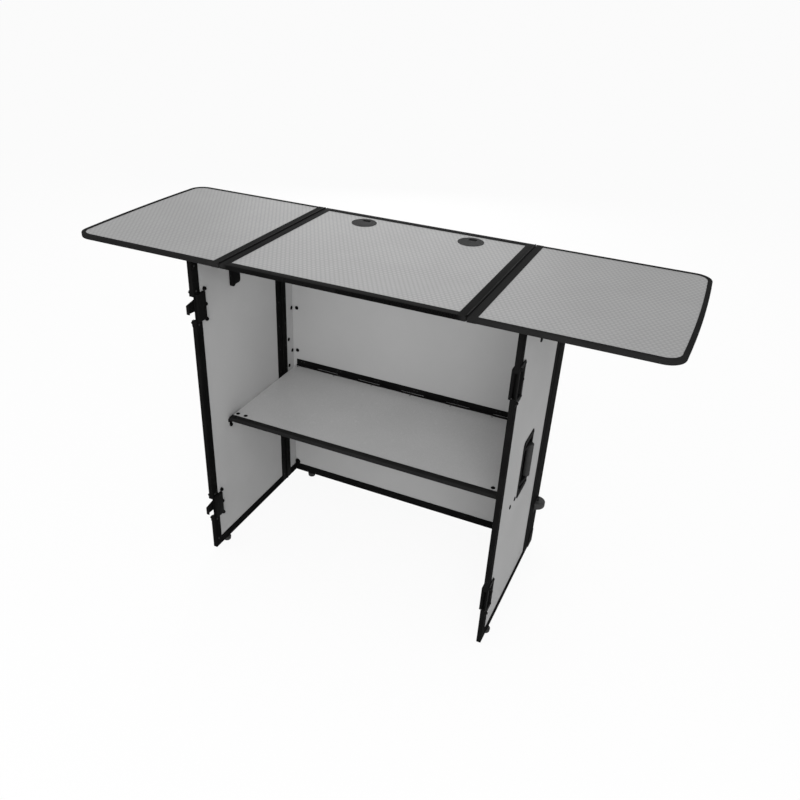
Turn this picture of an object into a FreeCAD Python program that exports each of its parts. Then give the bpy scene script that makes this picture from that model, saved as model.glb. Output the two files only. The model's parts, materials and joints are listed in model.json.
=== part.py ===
# Folding DJ booth: an upright tray with two hinged leg panels, a hinged shelf and a three-part top.
# Millimetres. +X is the user's right, +Y points to the audience, +Z is up, and the floor is Z = 0.
import FreeCAD
import Part
import Sketcher
import os
import re

SIZES = {
    # Boards and the profiles round them
    "panel_thickness": 12,
    "profile_wall": 1.5,
    "post_lip": 27,
    "rail_lip": 27,
    "field_rise": 0.5,
    "field_gap": 0.2,
    # Tray and legs
    "case_half_width": 431,
    "leg_height": 924,
    "leg_depth": 413,
    "return_depth": 78.5,
    "butt_gap": 0.4,
    # Feet
    "foot_height": 12,
    "foot_radius": 13,
    "foot_toe_radius": 11.5,
    "leg_foot_setback": 61,
    "tray_foot_inset": 70,
    # Top
    "top_thickness": 12,
    "top_half_depth": 265,
    "top_overhang": 6.5,
    "seam_half_spacing": 311,
    "seam_gap": 2.4,
    "seam_lip": 20.5,
    "seam_web": 5,
    "centre_lip": 20,
    "wing_reach": 449,
    "wing_bow": 7.6,
    "wing_corner_radius": 43,
    "wing_lip": 11,
    "wing_edge_radius": 2,
    # Cable ports in the top
    "port_half_spacing": 155,
    "port_setback": 67,
    "port_radius": 25,
    "port_wall": 2.5,
    "port_ledge": 2.5,
    "port_flange_width": 7,
    "port_flange_height": 1.3,
    "cap_height": 4,
    "cap_notch_width": 22,
    "cap_notch_depth": 16,
    # Piano hinges
    "knuckle_radius": 2.5,
    "knuckle_gap": 0.4,
    "hinge_pin_radius": 1.2,
    "hinge_bore_radius": 1.5,
    "leaf_thickness": 1.2,
    "seam_leaf_thickness": 1,
    "leg_leaf_width": 25,
    "shelf_leaf_width": 21,
    "shelf_drop_leaf_width": 11.5,
    "seam_leaf_width": 11,
    "tab_bite": 0.8,
    "hinge_end_inset": 4,
    # Shelf
    "shelf_side_gap": 19,
    "shelf_level": 411.5,
    "shelf_depth": 390.5,
    "shelf_lip": 18,
    "rest_length": 60,
    "rest_flange": 10,
    "rest_tab_width": 10,
    "rest_nut_height": 4,
    "rest_width": 30,
    "rest_thickness": 2,
    "rest_setback": 5,
    "rest_screw_half_spacing": 20,
    "rest_screw_drop": 22,
    "rivet_inset": 10,
    "rivet_spacing": 26,
    "rivet_setback": 30,
    # Brackets at the head of each leg
    "bracket_thickness": 2,
    "bracket_corner_radius": 8,
    "inner_bracket_width": 48,
    "inner_bracket_height": 107,
    "outer_bracket_width": 20,
    "outer_bracket_height": 80,
    "bracket_rib_width": 17,
    "bracket_rib_rise": 6,
    "bracket_setback": 183,
    # Latches and keepers
    "upper_latch_drop": 141,
    "lower_latch_level": 148,
    "latch_flange_width": 50,
    "latch_flange_half_height": 50,
    "latch_flange_radius": 9,
    "latch_pocket_setback": 8,
    "latch_pocket_width": 32,
    "latch_pocket_half_height": 36,
    "latch_pocket_depth": 18,
    "latch_slot_half_height": 33,
    "latch_key_offset": 14,
    "latch_screw_inset": 4.5,
    "latch_screw_reach": 42,
    "latch_nut_height": 7,
    "latch_boss_radius": 5,
    "latch_boss_height": 5,
    "latch_boss_setback": 6,
    "latch_boss_reach": 42,
    "key_half_length": 14.5,
    "key_width": 9,
    "key_thickness": 5,
    "key_edge_radius": 3,
    "key_hub_radius": 6,
    "key_shaft_radius": 4,
    "key_sink": 1,
    "tongue_thickness": 2.5,
    "tongue_tip_drop": 6,
    "tongue_tip_rise": 18,
    "tongue_root_drop": 10,
    "tongue_root_rise": 28,
    "tongue_reach": 25,
    "tongue_travel": 9,
    "tongue_land": 3,
    "tongue_hook_depth": 6,
    "keeper_radius": 3,
    "keeper_setback": 10,
    "running_clearance": 0.4,
    # Recessed handle
    "handle_drop": 10,
    "handle_gap": 7,
    "handle_half_width": 45.5,
    "handle_half_height": 88,
    "handle_corner_radius": 12,
    "handle_pocket_half_width": 36,
    "handle_pocket_half_height": 70,
    "handle_pocket_depth": 9,
    "dish_wall": 1.5,
    "bail_pivot_reach": 27.5,
    "bail_length": 52,
    "bail_stand_off": 7,
    "bail_half_length": 58,
    "bail_arm_width": 8,
    "bail_arm_thickness": 7,
    "bail_rod_radius": 3,
    "bail_sink": 6.5,
    "grip_radius": 9,
    "grip_half_length": 50,
    # Carrying wheels, their housings and the pull handle
    "wheel_radius": 25,
    "wheel_width": 22,
    "wheel_shoulder": 10.5,
    "lower_wheel_level": 155,
    "upper_wheel_drop": 110,
    "wheel_inset": 18.5,
    "wheel_clearance": 2,
    "wheel_side_clearance": 0.5,
    "wheel_bore_clearance": 0.3,
    "axle_radius": 3,
    "housing_wall": 1.5,
    "housing_cheek": 9,
    "pull_rise": 4,
    "pull_half_spacing": 46,
    "pull_reach": 34,
    "pull_rod_radius": 5,
    "pull_bend_radius": 12,
    "pull_base_radius": 9,
    "pull_base_height": 3,
    # Corner hardware
    "protector_size": 45,
    "protector_thickness": 2,
    "protector_radius": 8,
    "corner_bolt_spacing": 146,
    "corner_bolt_inset": 8,
    "corner_bolt_side_inset": 15,
    "corner_knob_radius": 6,
    "corner_knob_height": 6,
    "corner_knob_level": 33.5,
    # Screw heads
    "head_radius": 3.6,
    "head_height": 2,
    "head_crown_share": 0.6,
    # Extra length of a cutting tool beyond what it cuts
    "overrun": 5,
}
KNUCKLE_COUNTS = {"leg": 11, "shelf": 11, "seam": 7}
SIDES = ("left", "right")

doc = FreeCAD.newDocument("folding_dj_booth")
sheet = doc.addObject("Spreadsheet::Sheet", "Sizes")
for row, (alias, value) in enumerate(SIZES.items(), start=1):
    sheet.set(f"A{row}", alias)
    sheet.set(f"B{row}", str(value))
    sheet.setAlias(f"B{row}", alias)
doc.recompute()

# Levels and faces that several pieces share, as formulas of the sheet's cells
PANEL_LOW = "foot_height"
PANEL_HIGH = "(foot_height + leg_height)"
TOP_HIGH = "(foot_height + leg_height + top_thickness)"
OUTER = "case_half_width"
INNER = "(case_half_width - panel_thickness)"
OUTER_BOARD = "(case_half_width - profile_wall)"
INNER_BOARD = "(case_half_width - panel_thickness + profile_wall)"
BACK = "(top_half_depth - top_overhang)"
HINGE_LINE = f"({BACK} - return_depth)"
FRONT = f"({HINGE_LINE} - leg_depth)"
LEG_REAR = f"({HINGE_LINE} - butt_gap / 2)"
RETURN_FRONT = f"({HINGE_LINE} + butt_gap / 2)"
RETURN_POST_END = f"({RETURN_FRONT} + post_lip)"
BACK_BOARD_OUT = f"({BACK} - profile_wall)"
BACK_BOARD_IN = f"({BACK} - panel_thickness + profile_wall)"
SHELF_HALF = "(case_half_width - shelf_side_gap)"
SHELF_FRONT = f"({BACK} - shelf_depth)"
SHELF_BOARD_HIGH = "(foot_height + shelf_level)"
SHELF_BOARD_LOW = "(foot_height + shelf_level - panel_thickness + 2 * profile_wall)"
SHELF_LOW = "(foot_height + shelf_level - panel_thickness + profile_wall)"
REST_Y = f"({SHELF_FRONT} + rest_setback + rest_length / 2)"
PULL_Y = f"(({RETURN_FRONT} + {BACK}) / 2)"
PULL_Z = "(foot_height + leg_height / 2 + pull_rise)"
BARREL_OFFSET = "(knuckle_radius + running_clearance)"
RAIL_HEIGHTS = {
    "low": (PANEL_LOW, f"({PANEL_LOW} + rail_lip)"),
    "high": (f"({PANEL_HIGH} - rail_lip)", PANEL_HIGH),
}
TOP_LOW = PANEL_HIGH
BOARD_LOW = f"({PANEL_HIGH} + profile_wall)"
BOARD_HIGH = f"({TOP_HIGH} - profile_wall)"
# The laminate between the lips stands a little higher than the board under them
FIELD_HEIGHTS = {
    "shelf": (SHELF_BOARD_HIGH, f"{SHELF_BOARD_HIGH} + field_rise"),
    "top": (BOARD_HIGH, f"{BOARD_HIGH} + field_rise"),
}


def cells(formula):
    def qualify(word):
        return f"Sizes.{word[0]}" if word[0] in SIZES else word[0]

    return re.sub(r"[a-z]\w+", qualify, str(formula))


def bind(piece, prop, formula):
    piece.setExpression(prop, cells(formula))


def place(piece, x, y, z):
    for axis, formula in zip("xyz", (x, y, z)):
        bind(piece, f"Placement.Base.{axis}", formula)


def turn(piece, direction):
    piece.Placement.Rotation = FreeCAD.Rotation(FreeCAD.Vector(0, 0, 1), FreeCAD.Vector(*direction))


def box(name, x, y, z):
    piece = doc.addObject("Part::Box", name)
    for prop, (low, high) in zip(("Length", "Width", "Height"), (x, y, z)):
        bind(piece, prop, f"({high}) - ({low})")
    place(piece, x[0], y[0], z[0])
    return piece


# A cylinder along one axis: centre holds the two other coordinates, span its two ends
def rod(name, axis, centre, span, radius):
    piece = doc.addObject("Part::Cylinder", name)
    bind(piece, "Radius", radius)
    bind(piece, "Height", f"({span[1]}) - ({span[0]})")
    turn(piece, {"x": (1, 0, 0), "y": (0, 1, 0), "z": (0, 0, 1)}[axis])
    spot = list(centre)
    spot.insert("xyz".index(axis), span[0])
    place(piece, *spot)
    return piece


def cone(name, direction, spot, radii, height):
    piece = doc.addObject("Part::Cone", name)
    bind(piece, "Radius1", radii[0])
    bind(piece, "Radius2", radii[1])
    bind(piece, "Height", height)
    turn(piece, direction)
    place(piece, *spot)
    return piece


def screw_head(name, direction, spot):
    return cone(name, direction, spot, ("head_radius", "head_radius * head_crown_share"), "head_height")


def fuse(name, *pieces):
    piece = doc.addObject("Part::MultiFuse", name)
    piece.Shapes = list(pieces)
    piece.Refine = True
    return piece


def cut(name, base, *tools):
    piece = doc.addObject("Part::Cut", name)
    piece.Base = base
    piece.Tool = tools[0] if len(tools) == 1 else fuse(f"{name}_tools", *tools)
    piece.Refine = True
    return piece


def rounded(name, base, alias, chosen):
    doc.recompute()
    piece = doc.addObject("Part::Fillet", name)
    piece.Base = base
    radius = SIZES[alias]
    edges = enumerate(base.Shape.Edges, start=1)
    piece.Edges = [(number, radius, radius) for number, edge in edges if chosen(edge)]
    return piece


SUBPARTS = []


def node(label, *pieces):
    piece = pieces[0]
    if len(pieces) > 1:
        piece = doc.addObject("Part::Compound", f"{label}_group")
        piece.Links = list(pieces)
    piece.Label = label
    SUBPARTS.append(piece)
    return piece


# The x interval of a right-hand piece, mirrored for the left side
def across(side, low, high):
    return (low, high) if side == "right" else (f"-({high})", f"-({low})")


def around(middle, half):
    return (f"{middle} - ({half})", f"{middle} + ({half})")


def at_side(side, x):
    return x if side == "right" else f"-({x})"


def inward(side):
    return (-1, 0, 0) if side == "right" else (1, 0, 0)


def outward(side):
    return (1, 0, 0) if side == "right" else (-1, 0, 0)


def along(edge, axis):
    if edge.Curve.TypeId != "Part::GeomLine":
        return False
    return abs(edge.tangentAt(edge.FirstParameter).dot(axis)) > PARALLEL_SHARE


X_AXIS = FreeCAD.Vector(1, 0, 0)
PARALLEL_SHARE = 0.99
Z_AXIS = FreeCAD.Vector(0, 0, 1)


# Piano hinge leaf in its own frame: the pin runs along local Z, and plate and tab are (x, y) intervals
def hinge_leaf(label, kind, first, plate, tab, length):
    count = KNUCKLE_COUNTS[kind]
    pieces = [box(f"{label}_plate", *plate, ("0", length))]
    for number in range(first, count, 2):
        low = f"{number} * ({length}) / {count} + knuckle_gap / 2"
        high = f"{number + 1} * ({length}) / {count} - knuckle_gap / 2"
        pieces.append(box(f"{label}_tab", *tab, (low, high)))
        pieces.append(rod(f"{label}_knuckle", "z", ("0", "0"), (low, high), "knuckle_radius"))
    bore = rod(f"{label}_bore", "z", ("0", "0"), ("-overrun", f"{length} + overrun"), "hinge_bore_radius")
    return cut(label, fuse(f"{label}_leaf", *pieces), bore)


def hinge_pin(label, length):
    return rod(label, "z", ("0", "0"), ("0", length), "hinge_pin_radius")


def set_hinge(piece, spot, local_x, local_y):
    x_axis = FreeCAD.Vector(*local_x)
    y_axis = FreeCAD.Vector(*local_y)
    piece.Placement.Rotation = FreeCAD.Rotation(x_axis, y_axis, x_axis.cross(y_axis), "XYZ")
    place(piece, *spot)
    return piece


# Wheel bays cut into the right rear corner of the tray
WHEEL_Y = f"({BACK} - wheel_inset)"
BAY_REACH = "(wheel_radius + wheel_clearance + housing_wall)"
BAY_HALF_HEIGHT = "(wheel_width / 2 + wheel_side_clearance + housing_cheek)"
WHEEL_LEVELS = {
    "lower": "(foot_height + lower_wheel_level)",
    "upper": "(foot_height + leg_height - upper_wheel_drop)",
}


def wheel_bay(name, level, spare="0"):
    return box(
        name,
        (f"case_half_width - {BAY_REACH}", f"case_half_width + {spare}"),
        (f"{WHEEL_Y} - {BAY_REACH}", f"{BACK} + {spare}"),
        (f"{level} - {BAY_HALF_HEIGHT}", f"{level} + {BAY_HALF_HEIGHT}"),
    )


def wheel_bays(name):
    return [wheel_bay(f"{name}_{place_name}_bay", level, "overrun") for place_name, level in WHEEL_LEVELS.items()]


# Tray: audience board with a rail above and below
def make_audience_panel():
    heights = (f"{PANEL_LOW} + profile_wall", f"{PANEL_HIGH} - profile_wall")
    board = box("audience_board", (f"-{OUTER_BOARD}", OUTER_BOARD), (BACK_BOARD_IN, BACK_BOARD_OUT), heights)
    width = ("post_lip - case_half_width", "case_half_width - post_lip")
    face = f"{BACK} - panel_thickness"
    rails = []
    for name, rail_heights in RAIL_HEIGHTS.items():
        rail = box(f"audience_{name}_rail", width, (face, BACK), rail_heights)
        lip = box(f"audience_{name}_lip", (f"-{INNER}", INNER), (face, BACK_BOARD_IN), rail_heights)
        rails.append(cut(f"audience_{name}_channel", fuse(f"audience_{name}_solid", rail, lip), board))
    node("audience_panel", cut("audience_panel_cut", board, *wheel_bays("audience")))
    node("audience_edging", *rails)


# Tray: a return board at each side, its front post, its short rails and the angle round the corner
def make_return(side):
    board = box(
        f"{side}_return_board",
        across(side, INNER_BOARD, OUTER_BOARD),
        (f"{RETURN_FRONT} + profile_wall", BACK_BOARD_IN),
        (f"{PANEL_LOW} + profile_wall", f"{PANEL_HIGH} - profile_wall"),
    )
    post = box(
        f"{side}_return_post", across(side, INNER, OUTER), (RETURN_FRONT, RETURN_POST_END), (PANEL_LOW, PANEL_HIGH)
    )
    rails = []
    width = across(side, INNER, OUTER_BOARD)
    for name, heights in RAIL_HEIGHTS.items():
        rail = box(f"{side}_return_{name}", width, (RETURN_POST_END, BACK_BOARD_IN), heights)
        rails.append(cut(f"{side}_return_{name}_rail", rail, board))
    node(f"{side}_return_edging", cut(f"{side}_return_post_channel", post, board), *rails)
    bays = wheel_bays("return") if side == "right" else []
    node(f"{side}_return_panel", cut(f"{side}_return_cut", board, *bays) if bays else board)


def make_corner_angle(side):
    heights = (PANEL_LOW, PANEL_HIGH)
    solid = box(
        f"{side}_angle_solid", across(side, "case_half_width - post_lip", OUTER), (RETURN_POST_END, BACK), heights
    )
    inside = box(
        f"{side}_angle_inside",
        across(side, "case_half_width - post_lip - overrun", OUTER_BOARD),
        (f"{RETURN_POST_END} - overrun", BACK_BOARD_OUT),
        ("0", f"{PANEL_HIGH} + overrun"),
    )
    bays = wheel_bays("angle") if side == "right" else []
    return cut(f"{side}_corner_angle", solid, inside, *bays)


def make_corner_protector(side):
    heights = (PANEL_LOW, f"{PANEL_LOW} + protector_size")
    solid = box(
        f"{side}_protector_solid",
        across(side, "case_half_width - protector_size", "case_half_width + protector_thickness"),
        (f"{BACK} - protector_size", f"{BACK} + protector_thickness"),
        heights,
    )

    def outer_corner(edge):
        spot = edge.CenterOfMass
        behind = spot.y > solid.Shape.CenterOfMass.y
        return along(edge, Z_AXIS) and abs(spot.x) > SIZES["case_half_width"] and behind

    bent = rounded(f"{side}_protector_bend", solid, "protector_radius", outer_corner)
    inside = box(
        f"{side}_protector_inside",
        across(side, "case_half_width - protector_size - overrun", OUTER),
        (f"{BACK} - protector_size - overrun", BACK),
        ("0", f"{PANEL_LOW} + protector_size + overrun"),
    )
    return cut(f"{side}_protector", bent, inside)


def make_corner_bolts():
    heads = []
    for side in SIDES:
        for step in (-1, 0, 1):
            level = f"{PULL_Z} + {step} * corner_bolt_spacing"
            spot = (at_side(side, INNER_BOARD), f"{BACK_BOARD_IN} - corner_bolt_inset", level)
            heads.append(screw_head(f"{side}_return_bolt", inward(side), spot))
            spot = (at_side(side, f"{INNER_BOARD} - corner_bolt_side_inset"), BACK_BOARD_IN, level)
            heads.append(screw_head(f"{side}_back_bolt", (0, -1, 0), spot))
        knob = cone(
            f"{side}_corner_knob",
            (0, -1, 0),
            (at_side(side, f"{INNER_BOARD} - corner_knob_radius"), BACK_BOARD_IN, "foot_height + corner_knob_level"),
            ("corner_knob_radius", "corner_knob_radius * head_crown_share"),
            "corner_knob_height",
        )
        heads.append(knob)
    for sign in (-1, 1):
        spot = (f"-{INNER_BOARD}", PULL_Y, f"{PULL_Z} + {sign} * pull_half_spacing")
        heads.append(screw_head("pull_handle_bolt", inward("left"), spot))
    node("corner_bolts", *heads)


# Carrying wheels on the right rear corner, each turning on an upright axle between two cheeks
def make_wheels():
    housings = []
    axles = []
    for name, level in WHEEL_LEVELS.items():
        bay = wheel_bay(f"{name}_housing_block", level)
        half_slot = "(wheel_width / 2 + wheel_side_clearance)"
        slot = rod(
            f"{name}_housing_slot",
            "z",
            (OUTER, WHEEL_Y),
            (f"{level} - {half_slot}", f"{level} + {half_slot}"),
            "wheel_radius + wheel_clearance",
        )
        ends = (f"{level} - {BAY_HALF_HEIGHT}", f"{level} + {BAY_HALF_HEIGHT}")
        axles.append(rod(f"{name}_axle", "z", (OUTER, WHEEL_Y), ends, "axle_radius"))
        boss = rod(f"{name}_axle_boss", "z", (OUTER, WHEEL_Y), ends, "axle_radius + 2 * housing_wall")
        hole = rod(f"{name}_axle_hole", "z", (OUTER, WHEEL_Y), ends, "axle_radius")
        housings.append(cut(f"{name}_housing", fuse(f"{name}_housing_body", bay, boss), slot, hole))
        half_width = "wheel_width / 2"
        disc = rod(
            f"{name}_wheel_disc",
            "z",
            (OUTER, WHEEL_Y),
            (f"{level} - {half_width}", f"{level} + {half_width}"),
            "wheel_radius",
        )
        tread = rounded(f"{name}_wheel_tread", disc, "wheel_shoulder", lambda edge: not along(edge, Z_AXIS))
        bore = rod(
            f"{name}_wheel_bore",
            "z",
            (OUTER, WHEEL_Y),
            (f"{level} - wheel_width", f"{level} + wheel_width"),
            "axle_radius + wheel_bore_clearance",
        )
        node(f"{name}_wheel", cut(f"{name}_wheel_cut", tread, bore))
    node("wheel_housings", *housings)
    node("wheel_axles", *axles)


# Pull handle on the outside of the left return: a bow of round rod on two round bases
def make_pull_handle():
    grip_x = "-(case_half_width + pull_reach)"
    bend_x = "-(case_half_width + pull_reach - pull_bend_radius)"
    straight = "(pull_half_spacing - pull_bend_radius)"
    pieces = [rod("pull_grip", "z", (grip_x, PULL_Y), around(PULL_Z, straight), "pull_rod_radius")]
    for sign, first_angle in ((1, 90), (-1, 180)):
        level = f"{PULL_Z} + {sign} * pull_half_spacing"
        pieces.append(rod("pull_post", "x", (PULL_Y, level), (bend_x, "-case_half_width"), "pull_rod_radius"))
        base_span = ("-(case_half_width + pull_base_height)", "-case_half_width")
        pieces.append(rod("pull_base", "x", (PULL_Y, level), base_span, "pull_base_radius"))
        bend = doc.addObject("Part::Torus", "pull_bend")
        bind(bend, "Radius1", "pull_bend_radius")
        bind(bend, "Radius2", "pull_rod_radius")
        bend.Angle3 = 90
        bend.Placement.Rotation = FreeCAD.Rotation(X_AXIS, 90) * FreeCAD.Rotation(Z_AXIS, first_angle)
        place(bend, bend_x, PULL_Y, f"{PULL_Z} + {sign} * {straight}")
        pieces.append(bend)
    node("pull_handle", fuse("pull_handle_bow", *pieces))


# Rubber feet, wider at the panel than at the floor
def foot(name, x, y):
    return cone(name, (0, 0, 1), (x, y, "0"), ("foot_toe_radius", "foot_radius"), "foot_height")


def make_tray_feet():
    middle = f"{BACK} - panel_thickness / 2"
    reach = "case_half_width - tray_foot_inset"
    node("tray_feet", *[foot(f"{side}_tray_foot", at_side(side, reach), middle) for side in SIDES])


LATCH_LEVELS = {
    "upper": "(foot_height + leg_height - upper_latch_drop)",
    "lower": "(foot_height + lower_latch_level)",
}
POCKET_FRONT = f"({FRONT} + latch_pocket_setback)"
POCKET_REAR = f"({FRONT} + latch_pocket_setback + latch_pocket_width)"
POCKET_FLOOR = "(case_half_width + dish_wall - latch_pocket_depth)"
KEY_Y = f"({FRONT} + latch_pocket_setback + latch_key_offset)"


# The slot through the leg's front edge that the tongue passes; beside a keeper the outer lip stays whole
def latch_slot(name, side, level):
    return box(
        name,
        across(side, INNER_BOARD, "case_half_width + overrun" if side == "left" else OUTER_BOARD),
        (f"{FRONT} - overrun", f"{POCKET_FRONT} + overrun"),
        around(level, "latch_slot_half_height"),
    )


# The outside of a latch tub, and its slot
def latch_cutters(side, place_name):
    level = LATCH_LEVELS[place_name]
    tub = box(
        f"{side}_{place_name}_tub_space",
        across(side, f"{POCKET_FLOOR} - dish_wall", "case_half_width + overrun"),
        (f"{POCKET_FRONT} - dish_wall", f"{POCKET_REAR} + dish_wall"),
        around(level, "latch_pocket_half_height + dish_wall"),
    )
    return tub, latch_slot(f"{side}_{place_name}_slot", side, level)


# Half-dish of a latch or a keeper: a rounded flange on the leg's outer face and a tub behind it
def latch_dish(side, place_name):
    name = f"{side}_{place_name}_dish"
    level = LATCH_LEVELS[place_name]
    flange = box(
        f"{name}_flange",
        across(side, OUTER, "case_half_width + dish_wall"),
        (FRONT, f"{FRONT} + latch_flange_width"),
        around(level, "latch_flange_half_height"),
    )

    def rear_corner(edge):
        return along(edge, X_AXIS) and edge.CenterOfMass.y > flange.Shape.CenterOfMass.y

    plate = rounded(f"{name}_plate", flange, "latch_flange_radius", rear_corner)
    tub = box(
        f"{name}_tub",
        across(side, f"{POCKET_FLOOR} - dish_wall", OUTER),
        (f"{POCKET_FRONT} - dish_wall", f"{POCKET_REAR} + dish_wall"),
        around(level, "latch_pocket_half_height + dish_wall"),
    )
    pocket = box(
        f"{name}_pocket",
        across(side, POCKET_FLOOR, "case_half_width + dish_wall + overrun"),
        (POCKET_FRONT, POCKET_REAR),
        around(level, "latch_pocket_half_height"),
    )
    bosses = [
        cone(
            f"{name}_boss",
            outward(side),
            (at_side(side, OUTER), f"{FRONT} + latch_boss_setback", f"{level} + {sign} * latch_boss_reach"),
            ("latch_boss_radius", "latch_boss_radius * head_crown_share"),
            "dish_wall + latch_boss_height",
        )
        for sign in (-1, 1)
    ]
    body = fuse(f"{name}_body", plate, tub, *bosses)
    dish = cut(name, body, pocket, latch_slot(f"{name}_slot", side, level))
    if side == "left":
        return dish
    bar = rod(
        f"{name}_keeper",
        "z",
        (f"{POCKET_FLOOR} + latch_pocket_depth / 2", f"{POCKET_FRONT} + keeper_setback"),
        around(level, "latch_pocket_half_height"),
        "keeper_radius",
    )
    return fuse(f"{name}_with_keeper", dish, bar)


# Left leg: a twist key in each dish and the tongue that it draws in through the front edge
def make_latch(place_name):
    level = LATCH_LEVELS[place_name]
    bar_out = "(case_half_width + dish_wall - key_sink)"
    bar_in = f"({bar_out} - key_thickness)"
    bar = box(
        f"{place_name}_key_bar",
        across("left", bar_in, bar_out),
        (f"{KEY_Y} - key_width / 2", f"{KEY_Y} + key_width / 2"),
        (f"{level} - key_half_length", f"{level} + key_half_length"),
    )
    grip = rounded(f"{place_name}_key_grip", bar, "key_edge_radius", lambda edge: along(edge, X_AXIS))
    hub = rod(f"{place_name}_key_hub", "x", (KEY_Y, level), across("left", bar_in, bar_out), "key_hub_radius")
    shaft_span = across("left", f"{POCKET_FLOOR} + running_clearance", bar_out)
    shaft = rod(f"{place_name}_key_shaft", "x", (KEY_Y, level), shaft_span, "key_shaft_radius")
    node(f"{place_name}_latch_key", fuse(f"{place_name}_key", grip, hub, shaft))

    tongue_out = f"({bar_in} - running_clearance)"
    tongue_in = f"({tongue_out} - tongue_thickness)"
    thickness = across("left", tongue_in, tongue_out)
    half_slot = "(key_shaft_radius + running_clearance)"
    tip = f"{FRONT} - tongue_reach"
    heights = (f"{level} - tongue_tip_drop", f"{level} + tongue_tip_rise")
    plate = doc.addObject("Part::Wedge", f"{place_name}_tongue_plate")
    for prop, formula in {
        "Xmin": thickness[0],
        "X2min": thickness[0],
        "Xmax": thickness[1],
        "X2max": thickness[1],
        "Ymin": tip,
        "Ymax": f"{KEY_Y} + {half_slot} + tongue_land",
        "Zmin": heights[0],
        "Zmax": heights[1],
        "Z2min": f"{level} - tongue_root_drop",
        "Z2max": f"{level} + tongue_root_rise",
    }.items():
        bind(plate, prop, formula)
    hook = box(
        f"{place_name}_tongue_hook",
        across("left", f"{tongue_in} - tongue_hook_depth", tongue_out),
        (tip, f"{tip} + tongue_thickness"),
        heights,
    )
    slot = box(
        f"{place_name}_tongue_slot",
        across("left", f"{tongue_in} - overrun", f"{tongue_out} + overrun"),
        (f"{KEY_Y} - {half_slot} - tongue_travel", f"{KEY_Y} + {half_slot}"),
        (f"{level} - {half_slot}", f"{level} + {half_slot}"),
    )
    tongue = fuse(f"{place_name}_tongue_body", plate, hook)
    node(f"{place_name}_latch_tongue", cut(f"{place_name}_tongue", tongue, slot))


# Recessed handle in the right leg: a dish through the board, and a bail with a rubber grip
HANDLE_Y = f"({REST_Y} + rest_length / 2 + handle_gap + handle_half_width)"
HANDLE_Z = "(foot_height + leg_height / 2 - handle_drop)"
BAIL_X = "(case_half_width - bail_sink)"
BAIL_PIVOT_Y = f"({HANDLE_Y} - bail_pivot_reach)"
HANDLE_FLOOR = "(case_half_width - profile_wall - handle_pocket_depth)"


def handle_cutter(name):
    return box(
        name,
        (f"{HANDLE_FLOOR} - dish_wall", "case_half_width + overrun"),
        around(HANDLE_Y, "handle_pocket_half_width + dish_wall"),
        around(HANDLE_Z, "handle_pocket_half_height + dish_wall"),
    )


def make_handle():
    flange = box(
        "handle_flange",
        (OUTER_BOARD, OUTER),
        around(HANDLE_Y, "handle_half_width"),
        around(HANDLE_Z, "handle_half_height"),
    )
    plate = rounded("handle_plate", flange, "handle_corner_radius", lambda edge: along(edge, X_AXIS))
    tub = box(
        "handle_tub",
        (f"{HANDLE_FLOOR} - dish_wall", OUTER_BOARD),
        around(HANDLE_Y, "handle_pocket_half_width + dish_wall"),
        around(HANDLE_Z, "handle_pocket_half_height + dish_wall"),
    )
    pocket = box(
        "handle_pocket",
        (HANDLE_FLOOR, "case_half_width + overrun"),
        around(HANDLE_Y, "handle_pocket_half_width"),
        around(HANDLE_Z, "handle_pocket_half_height"),
    )
    pivot_hole = rod(
        "handle_pivot_hole",
        "z",
        (BAIL_X, BAIL_PIVOT_Y),
        around(HANDLE_Z, "handle_pocket_half_height + dish_wall"),
        "bail_rod_radius + running_clearance",
    )
    node("handle_dish", cut("handle_dish_cut", fuse("handle_body", plate, tub), pocket, pivot_hole))

    pieces = []
    for sign in (-1, 1):
        heights = around(f"{sign} * (bail_half_length - bail_arm_width / 2)", "bail_arm_width / 2")
        pieces.append(box("bail_arm", around("0", "bail_arm_thickness / 2"), ("0", "bail_length"), heights))
        for end_y in ("0", "bail_length"):
            pieces.append(rod("bail_eye", "z", ("0", end_y), heights, "bail_arm_thickness / 2"))
        stub_ends = (f"{sign} * bail_half_length", f"{sign} * (handle_pocket_half_height + dish_wall)")
        pieces.append(rod("bail_stub", "z", ("0", "0"), stub_ends[::sign], "bail_rod_radius"))
    ends = around("0", "bail_half_length")
    core = rod("bail_core", "z", ("0", "bail_length"), ends, "bail_rod_radius")
    node("handle_bail", lean_bail(fuse("handle_bail_bow", *pieces, core)))
    sleeve = rod("grip_sleeve", "z", ("0", "bail_length"), around("0", "grip_half_length"), "grip_radius")
    hole = rod("grip_hole", "z", ("0", "bail_length"), ends, "bail_rod_radius")
    node("handle_grip", lean_bail(cut("handle_grip_cut", sleeve, hole)))


# The bail is drawn with its pivot on the local Z axis, and leans out of the dish at rest
def lean_bail(piece):
    piece.Placement.Rotation = FreeCAD.Rotation(FreeCAD.Vector(0, 0, -1), 1)
    bind(piece, "Placement.Rotation.Angle", "asin(bail_stand_off / bail_length)")
    place(piece, BAIL_X, BAIL_PIVOT_Y, HANDLE_Z)
    return piece


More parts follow.
